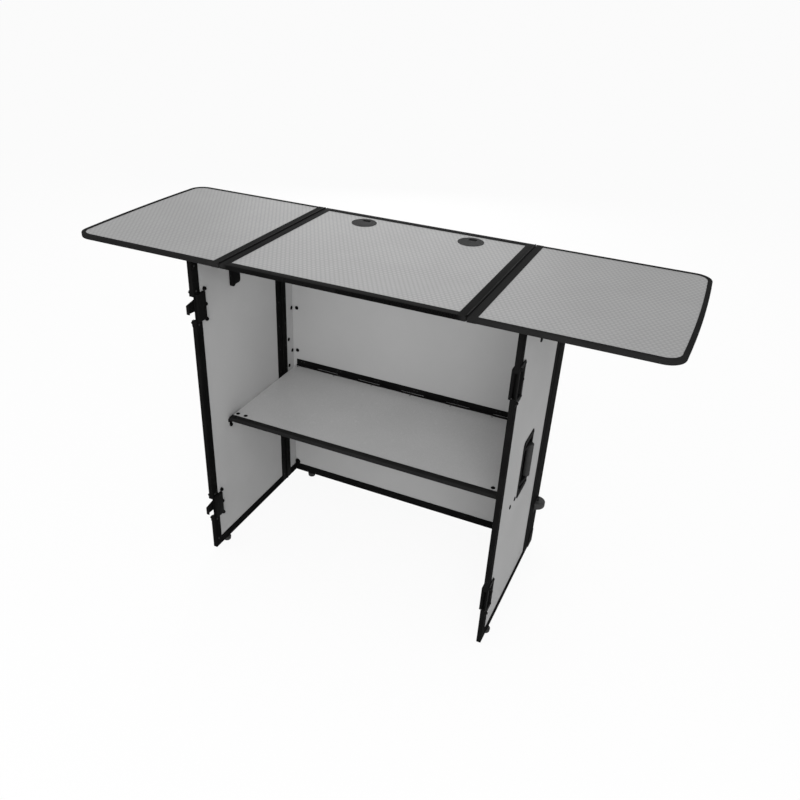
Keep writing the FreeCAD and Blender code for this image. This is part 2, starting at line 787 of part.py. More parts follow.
# Leg: a board in four profiles; the posts run the full height and the rails lie between them
def make_leg(side):
    board = box(
        f"{side}_leg_board",
        across(side, INNER_BOARD, OUTER_BOARD),
        (f"{FRONT} + profile_wall", f"{LEG_REAR} - profile_wall"),
        (f"{PANEL_LOW} + profile_wall", f"{PANEL_HIGH} - profile_wall"),
    )
    width = across(side, INNER, OUTER)
    between_posts = (f"{FRONT} + post_lip", f"{LEG_REAR} - post_lip")
    envelopes = {
        "front": ((FRONT, f"{FRONT} + post_lip"), (PANEL_LOW, PANEL_HIGH)),
        "rear": ((f"{LEG_REAR} - post_lip", LEG_REAR), (PANEL_LOW, PANEL_HIGH)),
        "low": (between_posts, RAIL_HEIGHTS["low"]),
        "high": (between_posts, RAIL_HEIGHTS["high"]),
    }
    cutters = [tool for place_name in LATCH_LEVELS for tool in latch_cutters(side, place_name)]
    profiles = []
    for name, (depth, heights) in envelopes.items():
        envelope = box(f"{side}_leg_{name}_envelope", width, depth, heights)
        tools = [board, *cutters] if name == "front" else [board]
        profiles.append(cut(f"{side}_leg_{name}_profile", envelope, *tools))
    node(f"{side}_leg_edging", *profiles)
    if side == "right":
        cutters.append(handle_cutter("handle_space"))
    node(f"{side}_leg_panel", cut(f"{side}_leg_board_cut", board, *cutters))
    middle = at_side(side, "case_half_width - panel_thickness / 2")
    node(f"{side}_foot", foot(f"{side}_foot_cone", middle, f"{FRONT} + leg_foot_setback"))


# Angle under the shelf's front corner, and the pair of plates at the head of the leg
REST_SCREWS_Y = (f"({REST_Y} - rest_screw_half_spacing)", f"({REST_Y} + rest_screw_half_spacing)")
REST_SCREW_Z = f"({SHELF_LOW} - rest_screw_drop)"
BRACKET_Y = f"({FRONT} + bracket_setback)"


def make_leg_brackets(side):
    plate = across(side, f"{INNER_BOARD} - rest_thickness", INNER_BOARD)
    flange = box(
        f"{side}_rest_flange", plate, around(REST_Y, "rest_length / 2"), (f"{SHELF_LOW} - rest_flange", SHELF_LOW)
    )
    tabs = []
    for screw_y in REST_SCREWS_Y:
        tabs.append(box(f"{side}_rest_tab", plate, around(screw_y, "rest_tab_width / 2"), (REST_SCREW_Z, SHELF_LOW)))
        tabs.append(rod(f"{side}_rest_tab_end", "x", (screw_y, REST_SCREW_Z), plate, "rest_tab_width / 2"))
    ledge = box(
        f"{side}_rest_ledge",
        across(side, f"{INNER_BOARD} - rest_width", INNER_BOARD),
        around(REST_Y, "rest_length / 2"),
        (f"{SHELF_LOW} - rest_thickness", SHELF_LOW),
    )
    node(f"{side}_shelf_rest", fuse(f"{side}_rest_angle", flange, ledge, *tabs))

    inner_face = f"{INNER_BOARD} - bracket_thickness"
    front_edge = f"{BRACKET_Y} - inner_bracket_width / 2"
    plates = {}
    for name, faces, depth in (
        ("inner", (inner_face, INNER_BOARD), around(BRACKET_Y, "inner_bracket_width / 2")),
        ("rib", (f"{inner_face} - bracket_rib_rise", INNER_BOARD), (front_edge, f"{front_edge} + bracket_rib_width")),
        ("outer", (OUTER_BOARD, f"{OUTER_BOARD} + bracket_thickness"), around(BRACKET_Y, "outer_bracket_width / 2")),
    ):
        height = "outer_bracket_height" if name == "outer" else "inner_bracket_height"
        heights = (f"{PANEL_HIGH} - rail_lip - {height}", f"{PANEL_HIGH} - rail_lip")
        blank = box(f"{side}_{name}_bracket_blank", across(side, *faces), depth, heights)

        def low_corner(edge, whole=blank):
            return along(edge, X_AXIS) and edge.CenterOfMass.z < whole.Shape.CenterOfMass.z

        plates[name] = rounded(f"{side}_{name}_bracket", blank, "bracket_corner_radius", low_corner)
    inner = fuse(f"{side}_ribbed_bracket", plates["inner"], plates["rib"])
    node(f"{side}_top_bracket", inner, plates["outer"])


def make_leg_screws(side):
    heads = []
    screw_y = f"{FRONT} + latch_flange_width - latch_screw_inset"
    nut_radii = ("head_radius", "head_radius * head_crown_share")
    for level in LATCH_LEVELS.values():
        for step in (-1, 0, 1):
            spot = (at_side(side, INNER_BOARD), screw_y, f"{level} + {step} * latch_screw_reach")
            heads.append(cone(f"{side}_latch_nut", inward(side), spot, nut_radii, "latch_nut_height"))
    for rest_y in REST_SCREWS_Y:
        spot = (at_side(side, OUTER_BOARD), rest_y, REST_SCREW_Z)
        heads.append(screw_head(f"{side}_rest_screw", outward(side), spot))
        spot = (at_side(side, f"{INNER_BOARD} - rest_thickness"), rest_y, REST_SCREW_Z)
        heads.append(cone(f"{side}_rest_nut", inward(side), spot, nut_radii, "rest_nut_height"))
    node(f"{side}_leg_screws", *heads)


# Open piano hinge between a leg and its return, on their inner faces
LEG_HINGE_LENGTH = "(leg_height - 2 * hinge_end_inset)"


def make_leg_hinges():
    plate_x = (f"{BARREL_OFFSET} - leaf_thickness", BARREL_OFFSET)
    pins = []
    for side in SIDES:
        facing = outward(side)
        spot = (at_side(side, f"{INNER} - {BARREL_OFFSET}"), HINGE_LINE, "foot_height + hinge_end_inset")
        for label, first, to_leaf in (
            (f"{side}_hinge_tray_leaf", 0, (0, 1, 0)),
            (f"{side}_hinge_leg_leaf", 1, (0, -1, 0)),
        ):
            plate = (plate_x, (BARREL_OFFSET, "leg_leaf_width"))
            tab = (plate_x, ("0", BARREL_OFFSET))
            leaf = hinge_leaf(f"{label}_solid", "leg", first, plate, tab, LEG_HINGE_LENGTH)
            upward = FreeCAD.Vector(*facing).cross(FreeCAD.Vector(*to_leaf)).z > 0
            foot_end = spot[2] if upward else f"{spot[2]} + {LEG_HINGE_LENGTH}"
            node(label, set_hinge(leaf, (spot[0], spot[1], foot_end), facing, to_leaf))
        pins.append(set_hinge(hinge_pin(f"{side}_hinge_pin", LEG_HINGE_LENGTH), spot, (1, 0, 0), (0, 1, 0)))
    node("leg_hinge_pins", *pins)


# Shelf: a board with a front profile, rivets and a piano hinge on the audience board
SHELF_AXIS_Y = f"({BACK_BOARD_IN} - {BARREL_OFFSET})"
SHELF_AXIS_Z = f"({SHELF_BOARD_HIGH} + {BARREL_OFFSET})"


def make_shelf():
    width = (f"-{SHELF_HALF}", SHELF_HALF)
    board = box(
        "shelf_board",
        (f"profile_wall - {SHELF_HALF}", f"{SHELF_HALF} - profile_wall"),
        (f"{SHELF_FRONT} + profile_wall", f"{SHELF_AXIS_Y} - {BARREL_OFFSET}"),
        (SHELF_BOARD_LOW, SHELF_BOARD_HIGH),
    )
    profile = box(
        "shelf_profile",
        width,
        (SHELF_FRONT, f"{SHELF_FRONT} + shelf_lip"),
        (SHELF_LOW, f"{SHELF_BOARD_HIGH} + profile_wall"),
    )
    node("shelf_edging", cut("shelf_edging_cut", profile, board))
    field = box(
        "shelf_field",
        (f"profile_wall - {SHELF_HALF}", f"{SHELF_HALF} - profile_wall"),
        (f"{SHELF_FRONT} + shelf_lip + field_gap", f"{SHELF_AXIS_Y} - {BARREL_OFFSET}"),
        FIELD_HEIGHTS["shelf"],
    )
    heads = []
    seats = []
    for side in SIDES:
        for step in (0, 1):
            x = at_side(side, f"{SHELF_HALF} - rivet_inset - {step} * rivet_spacing")
            y = f"{SHELF_FRONT} + rivet_setback"
            heads.append(screw_head(f"{side}_shelf_rivet", (0, 0, 1), (x, y, SHELF_BOARD_HIGH)))
            seats.append(rod(f"{side}_rivet_seat", "z", (x, y), FIELD_HEIGHTS["shelf"], "head_radius + field_gap"))
    node("shelf_rivets", *heads)
    node("shelf_panel", fuse("shelf_board_with_field", board, cut("shelf_field_cut", field, *seats)))

    length = f"(2 * ({SHELF_HALF} - hinge_end_inset))"
    start = f"hinge_end_inset - {SHELF_HALF}"
    leaf_x = (f"{BARREL_OFFSET} - leaf_thickness", BARREL_OFFSET)
    tab = (leaf_x, ("0", BARREL_OFFSET))
    spot = (start, SHELF_AXIS_Y, SHELF_AXIS_Z)
    for label, first, leaf_width, facing, to_leaf in (
        ("shelf_hinge_tray_leaf", 0, "shelf_leaf_width", (0, 1, 0), (0, 0, 1)),
        ("shelf_hinge_leaf", 1, "shelf_drop_leaf_width", (0, -1, 0), (0, 0, -1)),
    ):
        plate = (leaf_x, (BARREL_OFFSET, leaf_width))
        leaf = hinge_leaf(f"{label}_solid", "shelf", first, plate, tab, length)
        node(label, set_hinge(leaf, spot, facing, to_leaf))
    pin = hinge_pin("shelf_hinge_pin_rod", length)
    node("shelf_hinge_pin", set_hinge(pin, spot, (0, 1, 0), (0, 0, 1)))


# Top: centre board and wings; each seam has a thick-nosed profile with a groove for the hinge barrel
SEAM = "seam_half_spacing"
DEPTH = ("-top_half_depth", "top_half_depth")


def barrel_groove(name, side):
    reach = "top_half_depth + overrun"
    radius = "knuckle_radius + 2 * running_clearance"
    return rod(name, "y", (at_side(side, SEAM), TOP_HIGH), (f"-({reach})", reach), radius)


def make_centre():
    edge = "seam_half_spacing - seam_gap / 2"
    board = box(
        "centre_board",
        (f"-({edge} - seam_web)", f"{edge} - seam_web"),
        ("profile_wall - top_half_depth", "top_half_depth - profile_wall"),
        (BOARD_LOW, BOARD_HIGH),
    )
    heights = (TOP_LOW, TOP_HIGH)
    profiles = []
    for side in SIDES:
        envelope = box(f"centre_{side}_envelope", across(side, f"{edge} - seam_lip", edge), DEPTH, heights)
        profiles.append(cut(f"centre_{side}_profile", envelope, board, barrel_groove(f"centre_{side}_groove", side)))
    span = (f"-({edge} - seam_lip)", f"{edge} - seam_lip")
    for name, depth in (
        ("front", ("-top_half_depth", "centre_lip - top_half_depth")),
        ("rear", ("top_half_depth - centre_lip", "top_half_depth")),
    ):
        profiles.append(cut(f"centre_{name}_profile", box(f"centre_{name}_envelope", span, depth, heights), board))
    node("centre_edging", *profiles)
    field = box(
        "centre_field",
        (f"-({edge} - seam_lip - field_gap)", f"{edge} - seam_lip - field_gap"),
        ("centre_lip + field_gap - top_half_depth", "top_half_depth - centre_lip - field_gap"),
        FIELD_HEIGHTS["top"],
    )
    flange_seat = "port_radius + port_wall + port_flange_width + field_gap"
    seats = [port_rod(f"{side}_flange_seat", side, FIELD_HEIGHTS["top"], flange_seat) for side in SIDES]
    holes = [port_rod(f"{side}_port_hole", side, (TOP_LOW, TOP_HIGH), "port_radius + port_wall") for side in SIDES]
    panel = fuse("centre_board_with_field", board, cut("centre_field_cut", field, *seats))
    node("centre_panel", cut("centre_board_cut", panel, *holes))


PORT_Y = "(top_half_depth - port_setback)"


def port_rod(name, side, span, radius):
    return rod(name, "z", (at_side(side, "port_half_spacing"), PORT_Y), span, radius)


# Cable ports: a flanged liner, and a round cap with a notch for the cables
def make_ports():
    liners = []
    for side in SIDES:
        flange_high = f"({BOARD_HIGH} + port_flange_height)"
        flange = port_rod(
            f"{side}_port_flange", side, (BOARD_HIGH, flange_high), "port_radius + port_wall + port_flange_width"
        )
        tube = port_rod(f"{side}_port_tube", side, (BOARD_LOW, flange_high), "port_radius + port_wall")
        bore_span = (f"{BOARD_LOW} - overrun", f"{flange_high} + overrun")
        bore = port_rod(f"{side}_port_bore", side, bore_span, "port_radius - port_ledge")
        seat_span = (f"{flange_high} - cap_height", f"{flange_high} + overrun")
        seat = port_rod(f"{side}_port_seat", side, seat_span, "port_radius")
        liners.append(cut(f"{side}_port_liner", fuse(f"{side}_port_body", flange, tube), bore, seat))
        cap_span = (f"{flange_high} - cap_height", flange_high)
        disc = port_rod(f"{side}_cap_disc", side, cap_span, "port_radius - running_clearance")
        notch = box(
            f"{side}_cap_notch",
            around(at_side(side, "port_half_spacing"), "cap_notch_width / 2"),
            (f"{PORT_Y} + port_radius - cap_notch_depth", f"{PORT_Y} + port_radius + overrun"),
            (f"{flange_high} - cap_height - overrun", f"{flange_high} + overrun"),
        )
        node(f"{side}_port_cap", cut(f"{side}_cap", disc, notch))
    node("port_liners", *liners)


# A slab with the wing's outline: straight sides, a shallow bowed end and rounded outer corners
def wing_slab(name, side, near, inset, low, high, edge_radius=None):
    body = doc.addObject("PartDesign::Body", name)
    sketch = body.newObject("Sketcher::SketchObject", f"{name}_outline")
    sketch.AttachmentSupport = [(next(p for p in body.Origin.OriginFeatures if p.Role == "XY_Plane"), "")]
    sketch.MapMode = "FlatFace"
    reach = SIZES["seam_half_spacing"] + SIZES["wing_reach"]
    half = SIZES["top_half_depth"]
    start = SIZES["seam_half_spacing"]
    end = reach - SIZES["wing_bow"]
    corners = [FreeCAD.Vector(x, y, 0) for x, y in ((start, -half), (end, -half), (end, half), (start, half))]
    sketch.addGeometry(Part.LineSegment(corners[0], corners[1]))
    sketch.addGeometry(Part.Arc(corners[1], FreeCAD.Vector(reach, 0, 0), corners[2]))
    sketch.addGeometry(Part.LineSegment(corners[2], corners[3]))
    sketch.addGeometry(Part.LineSegment(corners[3], corners[0]))
    for first, second in ((0, 1), (1, 2), (2, 3), (3, 0)):
        sketch.addConstraint(Sketcher.Constraint("Coincident", first, 2, second, 1))
    sketch.addConstraint(Sketcher.Constraint("Horizontal", 0))
    sketch.addConstraint(Sketcher.Constraint("Horizontal", 2))
    sketch.addConstraint(Sketcher.Constraint("Vertical", 1, 1, 1, 2))
    sketch.addConstraint(Sketcher.Constraint("Symmetric", 3, 1, 3, 2, -1))
    bow_radius = f"((top_half_depth ^ 2 + wing_bow ^ 2) / (2 * wing_bow) - ({inset}))"
    bow_centre = f"(seam_half_spacing + wing_reach - ({inset}) - {bow_radius})"
    dimensions = {
        "depth": (Sketcher.Constraint("DistanceY", 3, 2, 3, 1, 2 * half), f"2 * (top_half_depth - ({inset}))"),
        "near": (Sketcher.Constraint("DistanceX", -1, 1, 3, 1, start), near),
        "bow": (Sketcher.Constraint("Radius", 1, half**2 / (2 * SIZES["wing_bow"])), bow_radius),
        "middle": (Sketcher.Constraint("DistanceX", 1, 3, -1, 1, -bow_offset()), f"-({bow_centre})"),
    }
    for key, (constraint, formula) in dimensions.items():
        sketch.renameConstraint(sketch.addConstraint(constraint), key)
        sketch.setExpression(f"Constraints.{key}", cells(formula))
    pad = body.newObject("PartDesign::Pad", f"{name}_pad")
    pad.Profile = sketch
    bind(pad, "Length", f"({high}) - ({low})")
    doc.recompute()
    far = [
        f"Edge{number}"
        for number, edge in enumerate(pad.Shape.Edges, start=1)
        if along(edge, Z_AXIS) and edge.CenterOfMass.x > (start + reach) / 2
    ]
    corner = body.newObject("PartDesign::Fillet", f"{name}_corners")
    corner.Base = (pad, far)
    bind(corner, "Radius", f"wing_corner_radius - ({inset})")
    if edge_radius:
        doc.recompute()
        rim = [
            f"Edge{number}"
            for number, edge in enumerate(corner.Shape.Edges, start=1)
            if not along(edge, Z_AXIS) and not along(edge, FreeCAD.Vector(0, 1, 0))
        ]
        edging = body.newObject("PartDesign::Fillet", f"{name}_rim")
        edging.Base = (corner, rim)
        bind(edging, "Radius", edge_radius)
    if side == "left":
        body.Placement.Rotation = FreeCAD.Rotation(Z_AXIS, 180)
    place(body, "0", "0", low)
    return body


def bow_offset():
    radius = SIZES["top_half_depth"] ** 2 / (2 * SIZES["wing_bow"])
    return SIZES["seam_half_spacing"] + SIZES["wing_reach"] - radius


def make_wing(side):
    edge = "(seam_half_spacing + seam_gap / 2)"
    board = wing_slab(f"{side}_wing_board", side, f"{edge} + seam_web", "profile_wall", BOARD_LOW, BOARD_HIGH)
    outline = wing_slab(
        f"{side}_wing_outline", side, f"{edge} + seam_lip", "0", TOP_LOW, TOP_HIGH, "wing_edge_radius"
    )
    window = wing_slab(
        f"{side}_wing_window",
        side,
        f"{edge} + seam_lip - overrun",
        "wing_lip",
        f"{TOP_LOW} - overrun",
        f"{TOP_HIGH} + overrun",
    )
    bent = cut(f"{side}_wing_bent_edging", outline, board, window)
    envelope = box(f"{side}_wing_seam", across(side, edge, f"{edge} + seam_lip"), DEPTH, (TOP_LOW, TOP_HIGH))
    straight = cut(f"{side}_wing_seam_profile", envelope, board, barrel_groove(f"{side}_wing_groove", side))
    node(f"{side}_wing_edging", bent, straight)
    near = f"{edge} + seam_lip + field_gap"
    field = wing_slab(f"{side}_wing_field", side, near, "wing_lip + field_gap", *FIELD_HEIGHTS["top"])
    node(f"{side}_wing_panel", fuse(f"{side}_wing_board_with_field", board, field))


# Closed piano hinge in each seam: both leaves hang in the gap, below a barrel at the level of the top
def make_seam_hinges():
    length = "(2 * (top_half_depth - hinge_end_inset))"
    start = "hinge_end_inset - top_half_depth"
    groove = "(knuckle_radius + running_clearance)"
    centre_leaves = []
    pins = []
    for side in SIDES:
        spot = (at_side(side, SEAM), start, TOP_HIGH)
        down = ("-seam_leaf_width", f"-{groove}")
        tab_down = (f"-{groove}", "tab_bite - knuckle_radius")
        leaf_faces = ("seam_gap / 2 - seam_leaf_thickness", "seam_gap / 2")
        wing_faces = across("right" if side == "left" else "left", *leaf_faces)
        centre_faces = across(side, *leaf_faces)
        fixed = hinge_leaf(f"{side}_centre_leaf", "seam", 0, (centre_faces, down), (centre_faces, tab_down), length)
        moving = hinge_leaf(f"{side}_wing_leaf_solid", "seam", 1, (wing_faces, down), (wing_faces, tab_down), length)
        axes = ((-1, 0, 0), (0, 0, 1))
        centre_leaves.append(set_hinge(fixed, spot, *axes))
        node(f"{side}_wing_leaf", set_hinge(moving, spot, *axes))
        pins.append(set_hinge(hinge_pin(f"{side}_seam_pin", length), spot, *axes))
    node("centre_hinge_leaves", *centre_leaves)
    node("seam_hinge_pins", *pins)


make_audience_panel()
for side in SIDES:
    make_return(side)
node("corner_angles", *[make_corner_angle(side) for side in SIDES])
node("corner_protectors", *[make_corner_protector(side) for side in SIDES])
make_corner_bolts()
make_wheels()
make_pull_handle()
make_tray_feet()
for side in SIDES:
    make_leg(side)
    make_leg_brackets(side)
    make_leg_screws(side)
node("latch_dishes", *[latch_dish("left", place_name) for place_name in LATCH_LEVELS])
node("keeper_dishes", *[latch_dish("right", place_name) for place_name in LATCH_LEVELS])
for place_name in LATCH_LEVELS:
    make_latch(place_name)
make_handle()
make_leg_hinges()
make_shelf()
make_centre()
make_ports()
for side in SIDES:
    make_wing(side)
make_seam_hinges()

doc.recompute()
failed = [piece.Name for piece in doc.Objects if {"Invalid", "Error"} & set(piece.State)]
failed += [piece.Label for piece in SUBPARTS if piece.Shape.isNull() or not piece.Shape.isValid()]
if failed:
    raise RuntimeError(f"these objects failed: {failed}")
os.makedirs("parts", exist_ok=True)
for piece in SUBPARTS:
    piece.Shape.exportStep(f"parts/{piece.Label}.step")
print(len(SUBPARTS), "sub-parts")
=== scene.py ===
import json
import math

import bpy
from mathutils import Matrix, Vector


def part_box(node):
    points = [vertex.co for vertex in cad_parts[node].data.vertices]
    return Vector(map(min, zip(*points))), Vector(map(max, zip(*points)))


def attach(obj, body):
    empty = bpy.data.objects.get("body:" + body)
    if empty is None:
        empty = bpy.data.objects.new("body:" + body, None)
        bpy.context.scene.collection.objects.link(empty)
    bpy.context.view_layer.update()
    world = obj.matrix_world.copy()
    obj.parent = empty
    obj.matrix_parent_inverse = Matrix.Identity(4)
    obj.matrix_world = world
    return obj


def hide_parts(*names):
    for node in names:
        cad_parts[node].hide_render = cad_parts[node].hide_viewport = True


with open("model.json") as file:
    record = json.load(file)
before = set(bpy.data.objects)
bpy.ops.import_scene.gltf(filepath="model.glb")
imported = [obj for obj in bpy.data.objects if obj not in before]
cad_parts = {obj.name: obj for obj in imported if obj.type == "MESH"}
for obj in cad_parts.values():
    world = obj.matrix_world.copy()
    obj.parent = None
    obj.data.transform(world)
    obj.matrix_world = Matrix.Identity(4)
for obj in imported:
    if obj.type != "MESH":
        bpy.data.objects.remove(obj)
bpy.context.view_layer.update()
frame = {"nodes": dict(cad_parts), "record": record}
nodes = frame["nodes"]
mm = 0.001
touch = 0.05 * mm  # two levels this close are one
square = 0.9  # cosine above which a face looks along an axis
print("frame loaded:", len(nodes), "nodes")


class Wire:
    # one output socket; sums and products of wires add Math nodes
    def __init__(self, finish, socket):
        self.finish = finish
        self.socket = socket

    def maths(self, operation, *values):
        return self.finish.add("ShaderNodeMath", {"operation": operation}, dict(enumerate(values)))

    def __add__(self, other):
        return self.maths("ADD", self, other)

    def __sub__(self, other):
        return self.maths("SUBTRACT", self, other)

    def __rsub__(self, other):
        return self.maths("SUBTRACT", other, self)

    def __mul__(self, other):
        return self.maths("MULTIPLY", self, other)

    __radd__ = __add__
    __rmul__ = __mul__

    def fract(self):
        return self.maths("FRACT", self)

    def root(self):
        return self.maths("SQRT", self)

    def lower(self, other):
        return self.maths("MINIMUM", self, other)

    def higher(self, other):
        return self.maths("MAXIMUM", self, other)

    def size(self):
        return self.maths("ABSOLUTE", self)

    def above(self, other):
        return self.maths("GREATER_THAN", self, other)

    def below(self, other):
        return self.maths("LESS_THAN", self, other)

    def ease(self, start, end, low=0.0, high=1.0):
        span = {"Value": self, "From Min": start, "From Max": end, "To Min": low, "To Max": high}
        return self.finish.add("ShaderNodeMapRange", {"interpolation_type": "SMOOTHSTEP"}, span)

    def sibling(self, out):
        return Wire(self.finish, self.socket.node.outputs[out])


noiseBand = (0.3, 0.7)  # the levels between which most noise lies
wearBand = (0.35, 0.7)
edgeBand = (0.72, 0.98)  # cosine between the true normal and a rounded one: on an edge, on flat ground


class Finish:
    # the nodes of one material, or of the world
    def __init__(self, owner, outputKind="ShaderNodeOutputMaterial"):
        owner.use_nodes = True
        self.owner = owner
        self.tree = owner.node_tree
        self.tree.nodes.clear()
        self.output = self.tree.nodes.new(outputKind)

    def add(self, kind, settings=None, inputs=None, out=0):
        node = self.tree.nodes.new(kind)
        for name, value in (settings or {}).items():
            setattr(node, name, value)
        for name, value in (inputs or {}).items():
            if isinstance(value, Wire):
                self.tree.links.new(value.socket, node.inputs[name])
            else:
                node.inputs[name].default_value = value
        return Wire(self, node.outputs[out])

    def spot(self):
        return self.add("ShaderNodeTexCoord", out="Object")

    def axes(self, wire):
        first = self.add("ShaderNodeSeparateXYZ", inputs={0: wire})
        return first, first.sibling("Y")

    def noise(self, scale, detail, stretch=(1, 1, 1)):
        at = self.add("ShaderNodeMapping", inputs={"Vector": self.spot(), "Scale": stretch})
        return self.add("ShaderNodeTexNoise", inputs={"Vector": at, "Scale": scale, "Detail": detail})

    def blend(self, factor, first, second):
        shares = {"Factor": factor, "A": first, "B": second}
        return self.add("ShaderNodeMix", {"data_type": "RGBA"}, shares, out=2)

    def rounded(self, radius):
        return self.add("ShaderNodeBevel", {"samples": 4}, {"Radius": radius})

    def edge(self, radius):
        # 0 on flat ground, rising to 1 on an edge
        flat = self.add("ShaderNodeNewGeometry", out="Normal")
        both = {0: flat, 1: self.rounded(radius)}
        cosine = self.add("ShaderNodeVectorMath", {"operation": "DOT_PRODUCT"}, both, out="Value")
        return cosine.ease(*edgeBand, 1.0, 0.0)

    def relief(self, height, distance, strength, radius=0.0):
        inputs = {"Height": height, "Distance": distance, "Strength": strength}
        if radius:
            inputs["Normal"] = self.rounded(radius)
        return self.add("ShaderNodeBump", inputs=inputs)

    def surface(self, shader):
        self.tree.links.new(shader.socket, self.output.inputs["Surface"])
        return self.owner

    def close(self, inputs):
        return self.surface(self.add("ShaderNodeBsdfPrincipled", inputs=inputs))


def grey(level):
    return (level, level, level, 1)


# noises are given as scale and detail
topLaminate = {
    "tile": 12.1 * mm,  # pitch of the raised buttons, in rows along the length of the top
    "button": (0.18, 0.5),  # from a button's crown to its foot, in tiles from its centre
    "dark": 0.262,
    "light": 0.32,
    "buttonShade": 0.8,
    "cloud": (9.0, 3.0),
    "cloudShade": 0.12,
    "grain": (1400.0, 1.0),
    "grainShade": 0.08,
    "grainRelief": 0.5,
    "wear": (70.0, 4.0),
    "wearShade": 0.4,
    "edge": 1.0 * mm,
    "rough": 0.55,
    "buttonPolish": 0.1,
    "shine": 0.3,
    "relief": 0.25 * mm,
    "reliefStrength": 0.4,
}


def makeTopLaminate(spec):
    finish = Finish(bpy.data.materials.new("hexagonLaminate"))
    x, y = finish.axes(finish.spot())
    rowPitch = math.sqrt(3)

    def nearest(offset):
        across = (x * (1 / spec["tile"]) + offset).fract() - 0.5
        along = ((y * (1 / (spec["tile"] * rowPitch)) + offset).fract() - 0.5) * rowPitch
        return (across * across + along * along).root()

    button = nearest(0.0).lower(nearest(0.5)).ease(*spec["button"], 1.0, 0.0)
    cloud = finish.noise(*spec["cloud"]).ease(*noiseBand, -spec["cloudShade"], spec["cloudShade"])
    grain = finish.noise(*spec["grain"]).ease(*noiseBand, -spec["grainShade"], spec["grainShade"])
    worn = finish.edge(spec["edge"]) * finish.noise(*spec["wear"]).ease(*wearBand)
    mottle = button * spec["buttonShade"] + cloud + grain + worn * spec["wearShade"]
    height = button + grain * spec["grainRelief"]
    return finish.close({
        "Base Color": finish.blend(mottle, grey(spec["dark"]), grey(spec["light"])),
        "Roughness": button * -spec["buttonPolish"] + spec["rough"] + grain,
        "Specular IOR Level": spec["shine"],
        "Normal": finish.relief(height, spec["relief"], spec["reliefStrength"]),
    })


caseLaminate = {
    "dark": 0.39,
    "light": 0.43,
    "core": 0.012,  # painted shade: near-black cut edge of a board, standing in for the shade in the cut-outs behind the dishes
    "skinDepth": 0.6 * mm,
    "cloud": (5.0, 4.0),
    "cloudShade": 0.5,
    "grain": (900.0, 2.0),
    "grainShade": 0.3,
    "grainRough": 0.06,
    "grainRelief": 0.04 * mm,
    "reliefStrength": 0.25,
    "scuff": (60.0, 6.0),
    "scuffStretch": (1, 1, 0.15),
    "scuffBand": (0.64, 0.82),
    "scuffShade": 0.2,
    "scuffRough": 0.12,
    "wear": (80.0, 4.0),
    "wearShade": 0.5,
    "edge": 1.0 * mm,
    # roughness and shine
    "gloss": {
        "satinLaminate": (0.5, 0.01),
        "legLaminate": (0.5, 0.004),
        "shelfLaminate": (0.24, 0.22),
    },
}


def makeCaseLaminate(spec, name, boardFaces=None):
    rough, shine = spec["gloss"][name]
    finish = Finish(bpy.data.materials.new(name))
    cloud = finish.noise(*spec["cloud"]).ease(*noiseBand)
    grain = finish.noise(*spec["grain"]).ease(*noiseBand)
    scuff = finish.noise(*spec["scuff"], spec["scuffStretch"]).ease(*spec["scuffBand"])
    worn = finish.edge(spec["edge"]) * finish.noise(*spec["wear"]).ease(*wearBand)
    mottle = cloud * spec["cloudShade"] + grain * spec["grainShade"]
    mottle = mottle + scuff * spec["scuffShade"] + worn * spec["wearShade"]
    colour = finish.blend(mottle, grey(spec["dark"]), grey(spec["light"]))
    if boardFaces:  # the two faces of an upright board; between them its cut edge shows, painted near black as shade
        across = finish.axes(finish.spot())[0].size()
        inner, outer = boardFaces
        inside = across.above(inner + spec["skinDepth"]) * across.below(outer - spec["skinDepth"])
        # painted shade: the cut edge is drawn near black where it shows in the shaded cut-outs behind
        # the latch, keeper and handle dishes
        colour = finish.blend(inside, colour, grey(spec["core"]))
    return finish.close({
        "Base Color": colour,
        "Roughness": rough + grain * spec["grainRough"] + scuff * spec["scuffRough"],
        "Specular IOR Level": shine,
        "Normal": finish.relief(grain, spec["grainRelief"], spec["reliefStrength"]),
    })


# dark and light grey of the coat, grey of its worn edges,
# roughness, shine, scale of the grain, depth of the grain, edge radius
darkFinishes = {
    "topProfile": (0.012, 0.019, 0.035, 0.5, 0.004, 500, 0.03 * mm, 0.7 * mm),
    "caseProfile": (0.005, 0.009, 0.03, 0.5, 0.001, 500, 0.03 * mm, 0.7 * mm),
    "powderCoat": (0.004, 0.008, 0.03, 0.55, 0.02, 1500, 0.06 * mm, 0.5 * mm),
    "hingeSteel": (0.003, 0.007, 0.04, 0.48, 0.02, 700, 0.03 * mm, 0.4 * mm),
    "boltBlack": (0.002, 0.004, 0.02, 0.5, 0.01, 900, 0.02 * mm, 0.3 * mm),
    "rivetSteel": (0.018, 0.03, 0.06, 0.45, 0.06, 900, 0.02 * mm, 0.3 * mm),
    "footRubber": (0.026, 0.04, 0.06, 0.72, 0.2, 1200, 0.08 * mm, 0.6 * mm),
    "gripRubber": (0.026, 0.04, 0.06, 0.66, 0.2, 1200, 0.06 * mm, 0.6 * mm),
    "wheelPlastic": (0.03, 0.042, 0.06, 0.5, 0.2, 800, 0.05 * mm, 0.6 * mm),
    "portPlastic": (0.014, 0.024, 0.045, 0.5, 0.03, 1100, 0.05 * mm, 0.5 * mm),
}
coat = {
    "cloud": (14.0, 4.0),
    "cloudShade": 0.5,
    "cloudRough": 0.06,
    "grainDetail": 2.0,
    "grainShade": 0.3,
    "grainRough": 0.1,
    "reliefStrength": 0.5,
    "rub": (90.0, 5.0),
    "rubBand": (0.6, 0.82),
    "rubShade": 0.2,
    "wearBand": (0.4, 0.75),
    "wearShade": 0.7,
    "wearPolish": 0.1,
}


